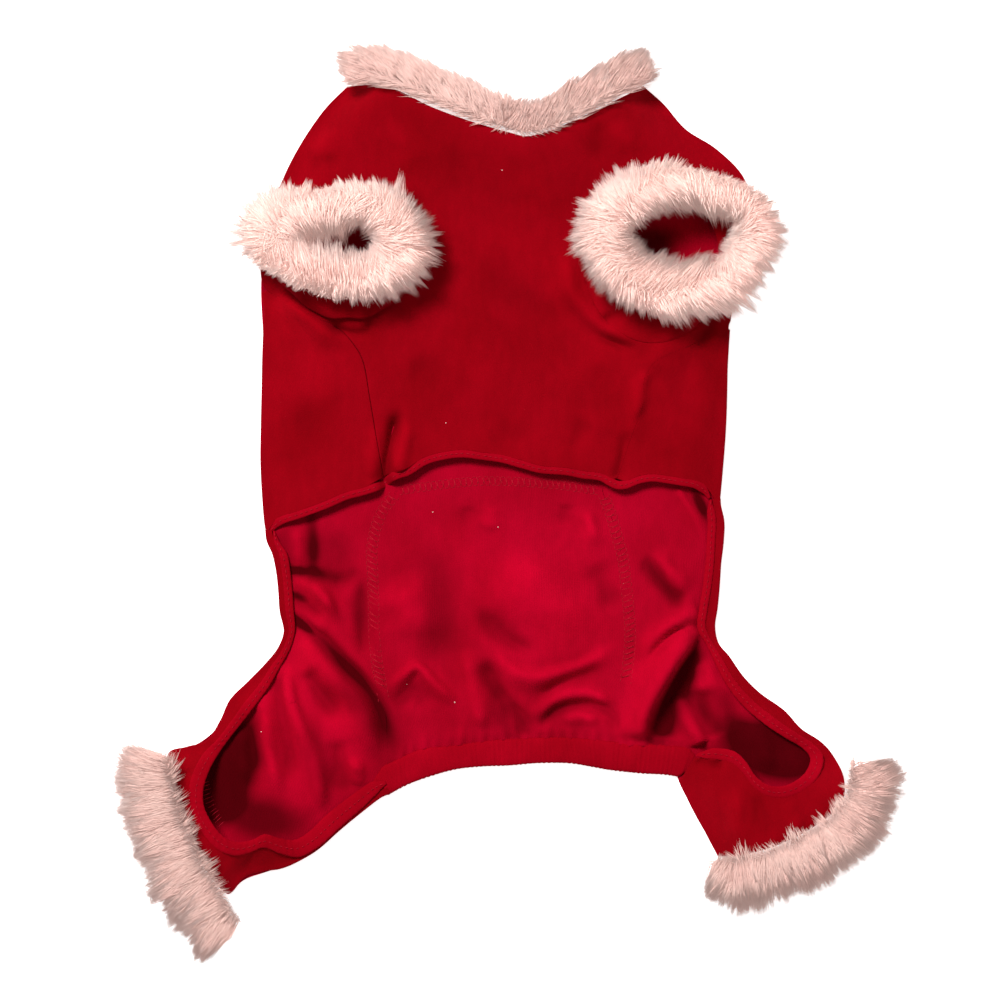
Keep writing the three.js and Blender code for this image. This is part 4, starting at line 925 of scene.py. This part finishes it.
seam_left = beside(belly_left[SEAM_START:], -SIDE_SEAM)
seam_right = beside(belly_right[SEAM_START:], SIDE_SEAM / 2)
fold_left = np.vstack([xy(FLANK_LEFT_FOLD), FLANK_LEFT_CORNER])
fold_right = np.vstack([xy(FLANK_RIGHT_FOLD), FLANK_RIGHT_CORNER])
flank_grid = patch(fold_left, seam_left, None,
                   hem_between(fold_left[-1], 0, HEM_LEFT, seam_left[-1]), FLANK_CELL)
flank_left = cloth("flank_left", flank_grid, near_height, ("round", "cut", "round", "round"), NEAR_CURL)
flank_grid = patch(seam_right, fold_right, None,
                   hem_between(seam_right[-1], HEM_RIGHT, -1, fold_right[-1]), FLANK_CELL)
flank_right = cloth("flank_right", flank_grid, near_height, ("round", "cut", "cut", "round"),
                    right_curl=NEAR_CURL)

back_grid = patch(xy(BACK_ROWS, "left"), xy(BACK_ROWS, "right"), xy(NECK_EDGE), xy(WAIST_SEAM), BACK_CELL)
back = cloth("back_panel", back_grid, far_height, ("round", "cut", "cut", "cut"))

seat_left, seat_right = xy(SEAT_ROWS, "left"), xy(SEAT_ROWS, "right")
seat_top = beside(xy(WAIST_SEAM), -TIGHT_SEAM)
seat_left[0], seat_right[0] = seat_top[0], seat_top[-1]
seat_grid = patch(seat_left, seat_right, seat_top, xy(RUMP_TOP), SEAT_CELL)
seat = cloth("seat_panel", seat_grid, far_height, ("cut", "round", "cut", "cut"))


def side_back(node, side, fold, end, turn):
    """Far side piece, from the princess seam and the seat seam out to the side fold."""
    princess = xy(BACK_ROWS, side)[SIDE_START:-1]
    seam = np.vstack([beside(np.vstack([princess, xy(SEAT_ROWS, side)]), turn * TIGHT_SEAM), xy(end)])
    grid = patch(seam, beside(xy(fold), -turn * FOLD_INSET), cell=SIDE_CELL)
    return cloth(node, grid, far_height, ("round", "round", "cut", "round"), right_curl=FAR_CURL)


side_left = side_back("side_back_left", "left", SIDE_BACK_LEFT_FOLD, SIDE_BACK_LEFT_END, -1)
side_right = side_back("side_back_right", "right", SIDE_BACK_RIGHT_FOLD, SIDE_BACK_RIGHT_END, 1)


def from_edge(rows, distance):
    """Line at a distance from the edge of the opening, along the rows of a leg table."""
    fold, edge = xy(rows, "fold"), xy(rows, "edge")
    return edge + unit(fold - edge) * distance[:, None]


def leg_front(node, rows):
    """Near half of a hind leg, with the strip that runs up beside the opening."""
    grid = patch(xy(rows, "fold"), from_edge(rows, rows["band"] - UNDER_BAND), cell=LEG_CELL)
    return cloth(node, grid, near_height, ("round", "round", "round", "cut"), NEAR_CURL)


leg_left = leg_front("leg_front_left", LEG_FRONT_LEFT)
leg_right = leg_front("leg_front_right", LEG_FRONT_RIGHT)
SLEEVE_COLUMNS, SLEEVE_ROWS = 132, 22
PUCKERS_FULL = 6  # the row of a sleeve from which its puckers have their full depth


def sleeve(node, rings):
    """A short sleeve, puckered where it leaves its armhole, up to the middle of its cuff."""
    around = np.linspace(0, TURN, SLEEVE_COLUMNS, endpoint=False)
    rows = smooth(np.column_stack(list(rings.values())), SLEEVE_ROWS)
    rise, share, middle_x, middle_y, half_width, half_length = rows.T[..., None]
    start = ease(np.arange(SLEEVE_ROWS) / PUCKERS_FULL)[:, None]
    pucker = 1 + start * (0.012 * np.sin(9 * around) + 0.010 * np.sin(14 * around + 1.3))
    x = middle_x + half_width * np.cos(around) * pucker
    y = middle_y + half_length * np.sin(around) * pucker
    base = near_height(x.ravel(), y.ravel()).reshape(x.shape)
    z = share * base + (1 - share) * SLEEVE_BASE + rise
    return cloth(node, np.stack([x, y], axis=2), lambda *place: z, ("cut", "cut"))


sleeve_left = sleeve("sleeve_left", SLEEVE_LEFT_RINGS)
sleeve_right = sleeve("sleeve_right", SLEEVE_RIGHT_RINGS)

# ---------------------------------------------------------------- turned hems and elastic bands
BAND_STEP = 0.75
BAND_TAPER, BAND_END = 9.0, 0.3  # a band thins out over this length at each end, to this share
BAND_SWAY = 0.04
LONG_WAVE = 5.3  # puckers come and go over this many of their pitches
RUMP_LAP = 1.1  # the rump band's half width beyond its outline
RUMP_HEIGHT = 1.6
HEM_SINK = 0.05


def band(node, stations, height, half_across, pitch, depth, seed):
    """A hem tube, drawn in along its length. Stations have x, y, half width and the level axis across it."""
    rows, _, run = even(stations, BAND_STEP)
    axes = unit(np.column_stack([rows[:, 3:5], np.zeros(len(rows))]))
    places = np.column_stack([rows[:, :2], height(rows[:, 0], rows[:, 1])])
    taper = np.minimum(1, BAND_END + np.minimum(run, run[-1] - run) / BAND_TAPER)
    sway = np.cumsum(np.random.default_rng(seed).uniform(-1, 1, len(rows))) * BAND_SWAY
    strength = depth * (0.6 + 0.4 * np.sin(TURN * run / (pitch * LONG_WAVE) + seed))
    swell = 1 + (strength * np.sin(TURN * run / pitch + sway))[:, None]
    piece = tube(node + "_hem", places, axes, rows[:, 2] * taper, half_across * taper, swell)
    return finish_piece(piece, BAND, "elastic_band", node)


def leg_stations(rows):
    half = rows["band"] / 2
    return np.column_stack([from_edge(rows, half), half, unit(xy(rows, "fold") - xy(rows, "edge"))])


def on_near(x, y):
    return near_height(x, y) - HEM_SINK


def on_rump(x, y):
    return np.full(len(x), RUMP_HEIGHT)


hem_middle = beside(hem_line, BELLY_BAND_WIDTH / 2)
hem_stations = np.column_stack([hem_middle, np.full(len(hem_middle), BELLY_BAND_WIDTH / 2),
                                unit(hem_middle - hem_line)])
rump_edge, rump_outer = xy(RUMP_BAND_ROWS, "top"), xy(RUMP_BAND_ROWS, "bottom")
rump_across = rump_edge - rump_outer
rump_stations = np.column_stack([(rump_edge + rump_outer) / 2,
                                 np.linalg.norm(rump_across, axis=1) / 2 + RUMP_LAP, unit(rump_across)])
hem_band = band("band_belly", hem_stations, on_near, 0.72, 9.0, 0.02, 3)
leg_band_left = band("band_leg_left", leg_stations(LEG_FRONT_LEFT), on_near, 0.8, 3.4, 0.16, 4)
leg_band_right = band("band_leg_right", leg_stations(LEG_FRONT_RIGHT), on_near, 0.86, 4.2, 0.12, 5)
rump_band = band("band_rump", rump_stations, on_rump, 1.3, 2.3, 0.2, 6)

# ---------------------------------------------------------------- plush trims
HAIR = 0.23  # half width of a tuft of pile at its middle
HAIR_BEND = 0.34  # where along it a hair bends
HAIR_CURL = 0.05
HAIR_THICKNESS = (0.75, 1.2)
HAIR_REACH = [0.0, 0.5, 0.5, 0.5, 1.0]  # of its five points, from root to tip
CLUMP_PLACE = 0.65  # where along them hairs are told to be neighbours
CLOSING = (0.45, 1.0)
TUFT_TONE, HAIR_TONE = 0.65, 0.35  # what each of them adds to the tone of a hair
ALONGSIDE = 0.6  # how far the hairs of a tuft take the same way
CORE_SIDES = 10
CORE_TONE = 0.3
LOWEST_PILE = 0.05


def tufts(draw, roots, tips, per_tuft, pull, tones):
    """Makes neighbouring hairs run the same way and close up, and gives every tuft a tone of its own."""
    middles = (1 - CLUMP_PLACE) * roots + CLUMP_PLACE * tips
    chosen = draw.choice(len(roots), max(3, len(roots) // per_tuft), replace=False)
    tree = KDTree(len(chosen))
    for number, place in enumerate(middles[chosen]):
        tree.insert(place, number)
    tree.balance()
    owner = np.array([tree.find(place)[1] for place in middles])
    leader = chosen[owner]
    closeness = pull * draw.uniform(*CLOSING, len(chosen))[owner][:, None]
    same_way = roots + (tips - roots)[leader]
    drawn = tips + ALONGSIDE * (same_way - tips)
    drawn += closeness * (tips[leader] - drawn)
    tone = draw.uniform(0.3, 1.0, len(chosen))[owner] * TUFT_TONE + draw.uniform(0, HAIR_TONE, len(roots))
    return drawn, tones[0] + (tones[1] - tones[0]) * tone


def hairs(draw, roots, tips, lift, tone, core):
    """Closed slender hairs that bend at the middle, then the undercoat that they stand on: points, faces,
    tone and reach."""
    count = len(roots)
    way = tips - roots
    length = np.linalg.norm(way, axis=1, keepdims=True)
    side = unit(np.cross(way, [0.02, 0.01, 1.0]))
    up = np.cross(side, unit(way))
    curl = draw.normal(0, HAIR_CURL, (count, 1)) * length
    middle = roots + HAIR_BEND * way + curl * side + lift[:, None] * length * up
    half = HAIR * draw.uniform(*HAIR_THICKNESS, (count, 1))
    ring = [middle + half * (math.cos(turn) * side + math.sin(turn) * up)
            for turn in (0, TURN / 3, 2 * TURN / 3)]
    points = np.stack([roots, *ring, tips], axis=1)
    corners = np.array([(0, 1, 2), (0, 2, 3), (0, 3, 1), (4, 2, 1), (4, 3, 2), (4, 1, 3)])
    corners = outwards(points[0], [corners])[0]
    size = len(HAIR_REACH)
    faces = (np.arange(count)[:, None, None] * size + corners).reshape(-1, 3)
    points = points.reshape(-1, 3)
    points[:, 2] = np.maximum(points[:, 2], LOWEST_PILE)
    core_points, core_faces = core
    tones = np.concatenate([np.repeat(tone, size), np.full(len(core_points), CORE_TONE)])
    reach = np.concatenate([np.tile(HAIR_REACH, count), np.zeros(len(core_points))])
    return np.vstack([points, core_points]), np.vstack([faces, core_faces + len(points)]), tones, reach


def core_tube(places, axes, half_axis, half_up, closed):
    """Undercoat of a trim: a lumpy oval tube, closed at its ends or to a ring."""
    count = len(places)
    number = np.arange(count)
    angle = TURN * np.arange(CORE_SIDES) / CORE_SIDES
    lumps = 1 + 0.10 * np.sin(number * 0.9)[:, None] * np.cos(2 * angle)
    if not closed:
        lumps = lumps * np.minimum(1, 0.25 + np.minimum(number, number[::-1]) / 3)[:, None]
    points = np.repeat(places[:, None], CORE_SIDES, axis=1)
    points[..., :2] += axes[:, None] * (half_axis * np.cos(angle) * lumps)[..., None]
    points[..., 2] += half_up * np.sin(angle) * lumps
    points = points.reshape(-1, 3)
    index = np.arange(count * CORE_SIDES).reshape(count, CORE_SIDES)
    around = looped(index).T
    quads = grid_quads(looped(around) if closed else around)
    faces = np.vstack([quads[:, [0, 1, 2]], quads[:, [0, 2, 3]]])
    if not closed:
        caps = [(index[0, 0], index[0, k + 1], index[0, k]) for k in range(1, CORE_SIDES - 1)]
        caps += [(index[-1, 0], index[-1, k], index[-1, k + 1]) for k in range(1, CORE_SIDES - 1)]
        faces = np.vstack([faces, caps])
    return points, outwards(points, [faces])[0]


def trim(node, parts):
    """One piece from several batches of pile."""
    points, faces, tones, reach = zip(*parts)
    starts = np.cumsum([0] + [len(batch) for batch in points[:-1]])
    faces = [group + start for group, start in zip(faces, starts)]
    attributes = {"tone": np.concatenate(tones), "reach": np.concatenate(reach)}
    piece = new_piece(node + "_pile", np.vstack(points), faces, attributes=attributes)
    return finish_piece(piece, PLUSH, "plush", node)


def wander(draw, places, pitch, size):
    """Slow unevenness along a trim."""
    total = np.zeros_like(places)
    for k in (1.0, 1.7, 2.9):
        total += np.sin(places / (pitch / k) * TURN + draw.uniform(0, ANY_PHASE)) / k ** 0.5
    return size * total / 2


# Reach of the pile of the two front cuffs, every 15 degrees from +X turning to +Y.
CUFF_LEFT_OUT = [13.9, 12.8, 13.6, 13.0, 11.2, 9.4, 7.2, 6.0, 9.0, 13.2, 15.4, 15.2,
                 14.0, 8.2, 5.8, 5.4, 5.6, 7.0, 9.4, 11.2, 15.2, 15.4, 15.2, 15.2]
CUFF_LEFT_IN = [14.8, 14.8, 14.5, 11.8, 10.4, 14.0, 17.0, 18.5, 19.0, 18.0, 17.0, 18.0,
                19.0, 18.0, 17.5, 18.0, 19.5, 19.5, 17.0, 11.5, 11.3, 11.0, 15.0, 15.0]
CUFF_RIGHT_OUT = [12.6, 14.2, 10.0, 8.0, 5.4, 5.0, 6.0, 9.0, 9.8, 12.6, 13.6, 14.4,
                  13.4, 12.0, 13.1, 13.9, 12.4, 15.2, 13.9, 15.4, 15.2, 12.2, 10.4, 10.6]
CUFF_RIGHT_IN = [15.2, 12.9, 9.6, 10.6, 14.0, 16.5, 17.0, 16.8, 16.0, 15.5, 15.0, 14.6,
                 16.4, 17.0, 17.0, 18.0, 18.5, 18.5, 17.0, 13.0, 7.6, 10.0, 14.0, 15.5]
CUFF_MIDDLE = 27.6
CUFF_CORE = {"middle": 23.4, "half": 2.2, "half_height": 6.6}
CORE_STATIONS = 96
OUTWARD_SHARE = 0.56  # of the hairs of a front cuff
CUFF_STEP = 15.0  # degrees between the places of the four lists
CUFF_ROOTS = (-9.0, -2.5, 7.5)  # how far from the parting hairs stand: least, most often and most
CUFF_FALL = (-10.8, 8.5)  # lowest and highest tips, from the middle of the cuff
# The front cuffs' tones are set lighter than the other trims': painted light against the shade in their
# upright pile.
CUFF_TUFT, CUFF_PULL, CUFF_TONES_PAINTED_LIGHTER = 26, 0.5, (0.6, 1.0)


def front_cuff(node, ring, outward_reach, inward_reach, sweep, closing, count, seed):
    """A ring of pile parted along its top: it falls outwards over the sleeve and inwards over the mouth."""
    draw = np.random.default_rng(seed)
    radii = np.array([ring["half_width"], ring["half_length"]])
    angle = draw.uniform(0, TURN, count)
    weight = np.hypot(radii[0] * np.sin(angle), radii[1] * np.cos(angle))
    angle = angle[draw.uniform(0, weight.max(), count) < weight + 8]
    count = len(angle)

    def reach_at(values):
        return np.interp(angle, np.radians(CUFF_STEP * np.arange(len(values) + 1)), [*values, values[0]])

    def ring_at(places):
        way = np.column_stack([np.cos(places), np.sin(places)])
        return (ring["x"], ring["y"]) + radii * way, unit(way / radii)

    middle, out = ring_at(angle)
    forward = np.column_stack([-out[:, 1], out[:, 0]])
    side = np.where(draw.uniform(0, 1, count) < OUTWARD_SHARE, 1.0, -1.0)
    level = draw.uniform(0, 1, count) ** 0.85
    parting = 2.4 * np.sin(2 * angle + seed) + 1.6 * np.sin(5 * angle + 2 * seed)
    root_out = side * draw.triangular(*CUFF_ROOTS, count)
    root_up = 3.6 - 7.0 * level + draw.normal(0, 0.5, count)
    reach = np.where(side > 0, reach_at(outward_reach) * 1.06, reach_at(inward_reach) * closing)
    root_out = parting + np.clip(root_out, -0.6 * reach, 0.6 * reach)
    tip_out = side * reach * np.clip(draw.normal(0.88, 0.11, count), 0.55, 1.04)
    tip_up = np.clip(5.2 - 13.0 * level + draw.normal(0, 1.5, count), *CUFF_FALL)
    slant = sweep[0] * np.sin(angle) + sweep[1] * np.cos(angle) + 0.25 * np.sin(angle * 3 + seed)
    slant += draw.normal(0, 0.24, count)
    slide = slant * np.abs(tip_out - root_out)
    roots = np.column_stack([middle + out * root_out[:, None], CUFF_MIDDLE + root_up])
    tips = np.column_stack([middle + out * tip_out[:, None] + forward * slide[:, None], CUFF_MIDDLE + tip_up])
    tips, tone = tufts(draw, roots, tips, CUFF_TUFT, CUFF_PULL, CUFF_TONES_PAINTED_LIGHTER)
    core_line, core_out = ring_at(np.linspace(0, TURN, CORE_STATIONS, endpoint=False))
    core_line = np.column_stack([core_line, np.full(CORE_STATIONS, CUFF_CORE["middle"])])
    core = core_tube(core_line, core_out, CUFF_CORE["half"], CUFF_CORE["half_height"], True)
    return trim(node, [hairs(draw, roots, tips, 0.08 + 0.12 * (1 - level), tone, core)])


cuff_left = front_cuff("plush_sleeve_left", PLUSH_SLEEVE_LEFT, CUFF_LEFT_OUT, CUFF_LEFT_IN,
                       (0.15, 0.2), 1.12, 27500, 11)
cuff_right = front_cuff("plush_sleeve_right", PLUSH_SLEEVE_RIGHT, CUFF_RIGHT_OUT, CUFF_RIGHT_IN,
                        (-0.5, -0.2), 1.04, 29000, 12)


STRIP_PULL = 0.32
ENDS_DRAWN_IN = 0.30
SWAY_PITCH = 30


def strip_pile(draw, line, style, layer, count, root_span, tip_span, core_half, per_tuft):
    """Pile of one flat strip. Spans are across the strip, positive away from the cloth. The style says
    how far tips run along the line and spread past its ends."""
    points, ahead, run = even(line, 1.0)
    across = np.column_stack([-ahead[:, 1], ahead[:, 0]]) * style["turn"]
    half_up = layer["half_up"]
    place = draw.uniform(0, run[-1], count)
    base, out, forward = follow(place, run, points), follow(place, run, across), follow(place, run, ahead)
    out, forward = unit(out), unit(forward)
    share = draw.uniform(0, 1, count)
    level = draw.uniform(0, 1, count)
    ending = bump(np.minimum(place, run[-1] - place), style["width"])
    way = np.where(place > run[-1] / 2, 1.0, -1.0)
    root_side = root_span[0] + (root_span[1] - root_span[0]) * share
    lobes = wander(draw, place, style["lobe"], 1.0)
    tip_side = tip_span[0] + (tip_span[1] - tip_span[0]) * share ** 0.6 + style["uneven"] * lobes
    tip_side = tip_side * (1 - ENDS_DRAWN_IN * ending) + draw.normal(0, 0.9, count)
    shift = style["slope"](place / run[-1]) * (1 - 0.5 * ending)
    shift += wander(draw, place, SWAY_PITCH, style["sway"])
    shift += way * ending * style["reach"] * draw.uniform(0.3, 1.0, count) + draw.normal(0, 1.3, count)
    root_up = half_up * (0.45 - 0.9 * level)
    tip_up = half_up * (0.92 - 1.7 * level) + draw.normal(0, 0.5, count)
    tip_up = np.clip(tip_up, -half_up, half_up * 0.98) - layer["droop"] * share * (1 - level)
    roots = np.column_stack([base + out * root_side[:, None], layer["z"] + root_up])
    tips = np.column_stack([base + out * tip_side[:, None] + forward * shift[:, None], layer["z"] + tip_up])
    tips, tone = tufts(draw, roots, tips, per_tuft, STRIP_PULL, style["tones"])
    core_line = np.column_stack([points + across * sum(root_span) / 2,
                                 np.full(len(points), layer["z"] - 0.55 * half_up)])
    core = core_tube(core_line[::2], across[::2], core_half, 0.25 * half_up, False)
    return hairs(draw, roots, tips, layer["lift"] * (1 - 0.6 * level), tone, core)


def strip_trim(node, line, style, seed, batches):
    """Pile on the near and the far strip of a trim. Each batch has the last six values of strip_pile."""
    draw = np.random.default_rng(seed)
    return trim(node, [strip_pile(draw, line, style, *batch) for batch in batches])


def hind_slope(share):
    return 3.0 * (2 * share - 1)


def neck_slope(share):
    """The pile is brushed away from the bottom of the neck's curve, along both arms."""
    return 13.0 * np.tanh((share - 0.56) * 7)


HIND_NEAR = {"z": 20.2, "half_up": 4.8, "lift": 0.12, "droop": 2.2}
HIND_FAR = {"z": 5.0, "half_up": 4.7, "lift": 0.05, "droop": 1.0}
# The hind trims' tones are set darker than the front cuffs': painted shade, as these trims lie flat and face
# the light.
HIND_STYLE = {"turn": -1, "slope": hind_slope, "width": 9.0, "reach": 7.0, "lobe": 30, "uneven": 4.2,
              "sway": 4.2, "tones": (0.0, 0.4)}
NECK_NEAR = {"z": 18.1, "half_up": 4.1, "lift": 0.12, "droop": 0.6}
NECK_FAR = {"z": 4.3, "half_up": 4.0, "lift": 0.05, "droop": 0.4}
# The neck trim's tones are set darker than the front cuffs' too: painted shade.
NECK_STYLE = {"turn": 1, "slope": neck_slope, "width": 6.0, "reach": 4.0, "lobe": 24, "uneven": 1.4,
              "sway": 2.6, "tones": (0.0, 0.36)}


def hind_cuff(node, line, seed, inner):
    """Pile of a hind cuff, which reaches this far in over the leg."""
    return strip_trim(node, line, HIND_STYLE, seed, [
        (HIND_NEAR, 15000, (-inner, -4.0), (1.0, 12.0), 2.2, 20),
        (HIND_NEAR, 900, (3.5 - inner, 8.5 - inner), (-inner - 4.0, 2.0 - inner), 1.0, 4),
        (HIND_FAR, 5500, (-14.0, -2.0), (4.0, 12.4), 2.2, 26),
    ])


hind_left = hind_cuff("plush_leg_left", xy(LEG_PLUSH_LEFT), 21, 20.6)
hind_right = hind_cuff("plush_leg_right", xy(LEG_PLUSH_RIGHT), 22, 17.2)
neck = strip_trim("plush_neck", xy(NECK_PLUSH_LINE), NECK_STYLE, 31, [
    (NECK_NEAR, 12000, (-9.8, 2.5), (-7.0, 9.2), 2.2, 24),
    (NECK_NEAR, 1500, (-9.5, -5.0), (-13.0, -8.5), 1.0, 4),
    (NECK_FAR, 3200, (-6.0, 3.5), (-6.0, 9.0), 2.2, 24),
])

# ---------------------------------------------------------------- stitches, seams and lint
THREAD_HALF = 0.16
COVER_STITCH, TOP_STITCH = (2.9, 0.62), (2.8, 0.6)  # pitch, and the share of it that is thread
LOOPER_SHARE = 0.96  # of the way across that a looper thread spans
SEAT_STITCHES_END = -104  # below this the gathers cover the seat seams
ON_FAR, ON_NEAR = CLOTH_WALL / 2 + 0.06, CLOTH_WALL / 2 - 0.02  # how a thread lies on each layer


def threads(name, starts, ends, half=THREAD_HALF, look=THREAD, slot="elastic_band", attributes=None):
    """Short stitches as closed four-sided threads, thickest at their middle, in one mesh."""
    way = unit(ends - starts)
    side = unit(np.cross(way, [0.01, 0.02, 1.0]))
    up = np.cross(side, way)
    rings = []
    for place, thick in ((0.0, 0.35), (0.5, 1.0), (1.0, 0.35)):
        middle = starts + place * (ends - starts) + up * (half * 0.5 * thick)
        rings += [middle + half * thick * (a * side + b * up) for a, b in ((1, 0), (0, 1), (-1, 0), (0, -1))]
    points = np.stack(rings, axis=1)
    corners = [(4 * r + k, 4 * r + (k + 1) % 4, 4 * r + 4 + (k + 1) % 4, 4 * r + 4 + k)
               for r in range(2) for k in range(4)]
    corners = outwards(points[0], [np.array(corners + [(3, 2, 1, 0), (8, 9, 10, 11)])])[0]
    faces = (np.arange(len(starts))[:, None, None] * 12 + corners).reshape(-1, 4)
    piece = new_piece(name, points.reshape(-1, 3), [faces], attributes=attributes)
    return finish_piece(piece, look, slot)


def stitch_row(line, height, pitch, share, draw):
    """Starts and ends of the stitches of one row, lying on a surface."""
    points, _, run = even(line, 0.5)
    places = np.arange(pitch * 0.3, run[-1] - pitch, pitch)
    places = places + draw.uniform(-0.12, 0.12, len(places)) * pitch

    def on(distance):
        row = follow(distance, run, points)
        return np.column_stack([row, height(*row.T)])

    return on(places), on(places + pitch * share)


def on_far_top(x, y):
    return far_height(x, y) + ON_FAR


def on_near_top(x, y):
    return near_height(x, y) + ON_NEAR


def coverstitch(name, line, spacing, seed):
    """Twin rows of stitches beside a flat seam, with the looper thread crossing between them."""
    draw = np.random.default_rng(seed)
    rows = [stitch_row(beside(line, side * spacing / 2), on_far_top, *COVER_STITCH, draw) for side in (-1, 1)]
    starts, ends = [row[0] for row in rows], [row[1] for row in rows]
    count = min(len(starts[0]), len(starts[1])) - 1
    for k in range(2):
        one, two = ends[k][:count], starts[1 - k][1:count + 1]
        starts.append(one)
        ends.append(one + LOOPER_SHARE * (two - one))
    return threads(name, np.vstack(starts), np.vstack(ends))


def seat_seam(side):
    seam = xy(SEAT_ROWS, side)
    return seam[seam[:, 1] > SEAT_STITCHES_END]


waist_stitches = coverstitch("waist_seam_stitches", xy(WAIST_SEAM), 4.2, 41)
seat_stitches_left = coverstitch("seat_seam_stitches_left", seat_seam("left"), 5.4, 42)
seat_stitches_right = coverstitch("seat_seam_stitches_right", seat_seam("right"), 5.4, 43)
SERGED_LINE = [(-151.6, -139.5), (-150.4, -147), (-147.8, -154.5), (-143.4, -161.5)]
SERGED_COUNT, SERGED_HALF, SERGED_SLANT, SERGED_THREAD = 12, 2.4, 0.7, 0.2


def serged_threads():
    """Serged threads over the raw edges inside the left hind leg."""
    draw = np.random.default_rng(44)
    points, ahead, _ = even(SERGED_LINE, 0.5)
    places = np.linspace(1, len(points) - 2, SERGED_COUNT).astype(int)
    ahead = ahead[places]
    middle = points[places] + draw.uniform(-0.3, 0.3, (SERGED_COUNT, 2))
    half = SERGED_HALF * draw.uniform(0.8, 1.1, (SERGED_COUNT, 1))
    reach = np.column_stack([ahead[:, 1], -ahead[:, 0]]) * half
    ends = [np.column_stack([end, on_far_top(*end.T)])
            for end in (middle - reach, middle + reach + ahead * SERGED_SLANT)]
    return threads("serged_threads_leg_left", *ends, SERGED_THREAD)


serged = serged_threads()


def topstitch(name, stations, lift, seed):
    """A row of stitches along the middle of a hem."""
    def on_hem(x, y):
        return on_near(x, y) + lift

    return threads(name, *stitch_row(stations[:, :2], on_hem, *TOP_STITCH, np.random.default_rng(seed)))


hem_stitches = topstitch("belly_hem_stitches", hem_stations, 1.0, 45)
leg_stitches_left = topstitch("leg_hem_stitches_left", leg_stations(LEG_FRONT_LEFT), 1.22, 46)
leg_stitches_right = topstitch("leg_hem_stitches_right", leg_stations(LEG_FRONT_RIGHT), 1.22, 47)
LINT = [(-115.8, 13.2), (-31.2, 39.2), (-5.2, -12.8), (-37.8, -5.3), (-123.3, -114.8), (-50.8, -91.2),
        (-26.8, -100.2), (-3.2, 164.8)]
LINT_HAIRS = 4
BELLY_STARTS = 14  # lint above this line lies on the belly


def lint():
    """A few specks of light fluff that the velour has picked up."""
    draw = np.random.default_rng(48)
    starts, ends = [], []
    for x, y in LINT:
        height = on_near_top if y > BELLY_STARTS else on_far_top
        for _ in range(LINT_HAIRS):
            turn = draw.uniform(0, math.pi)
            reach = draw.uniform(0.2, 0.42) * np.array([math.cos(turn), math.sin(turn)])
            for line, end, lift in ((starts, (x, y) + reach, 0.05), (ends, (x, y) - reach, 0.12)):
                line.append([*end, height(end[:1], end[1:])[0] + lift])
    attributes = {label: np.full(12 * len(starts), 0.6) for label in ("tone", "reach")}
    return threads("lint_specks", np.array(starts), np.array(ends), 0.15, PLUSH, "plush", attributes)


specks = lint()


# ---------------------------------------------------------------- surface, light and camera
PAPER_BELOW = 0.0004  # metres
PAPER_GLOW = 0.72


def floor():
    """A pale surface, bright enough that hardly any shade shows on it."""
    look = Finish("paper", WHITE, 0.9, specular=0.0)
    colour = look.ramp(look.noise(3), 0.3, 0.7, (0.96, 0.96, 0.96), WHITE)
    look.feed(look.shader, {"Base Color": colour, "Emission Color": colour, "Emission Strength": PAPER_GLOW})
    bpy.ops.mesh.primitive_plane_add(size=6, location=(0, 0, -PAPER_BELOW))
    surface = bpy.context.active_object
    surface.name = "surface"
    surface.data.materials.append(look.material)


floor()


def area_light(name, place, size, power):
    """A soft square light that looks at the middle of the suit."""
    bpy.ops.object.light_add(type="AREA", location=place)
    lamp = bpy.context.active_object
    lamp.name = name
    lamp.data.shape = "SQUARE"
    lamp.data.size = size
    lamp.data.energy = power
    lamp.rotation_euler = (-Vector(place)).to_track_quat("-Z", "Y").to_euler()


area_light("soft_light_above", (-0.98, 1.3, 2.34), 0.8, 112)
area_light("soft_light_side", (0.9, -0.5, 1.6), 1.0, 5)

scene = bpy.context.scene
world = bpy.data.worlds.new("studio")
scene.world = world
world.use_nodes = True
sky = world.node_tree.nodes["Background"].inputs
sky["Color"].default_value = (*WHITE, 1)
sky["Strength"].default_value = 0.26
scene.view_settings.view_transform = "Standard"

CAMERA_PLACE = (-0.00425, 0.00075, 2.778)
bpy.ops.object.camera_add(location=CAMERA_PLACE, rotation=(0, 0, 0))
camera = bpy.context.active_object
camera.data.lens = 200
camera.data.sensor_width = 36
camera.data.clip_end = 20
scene.camera = camera
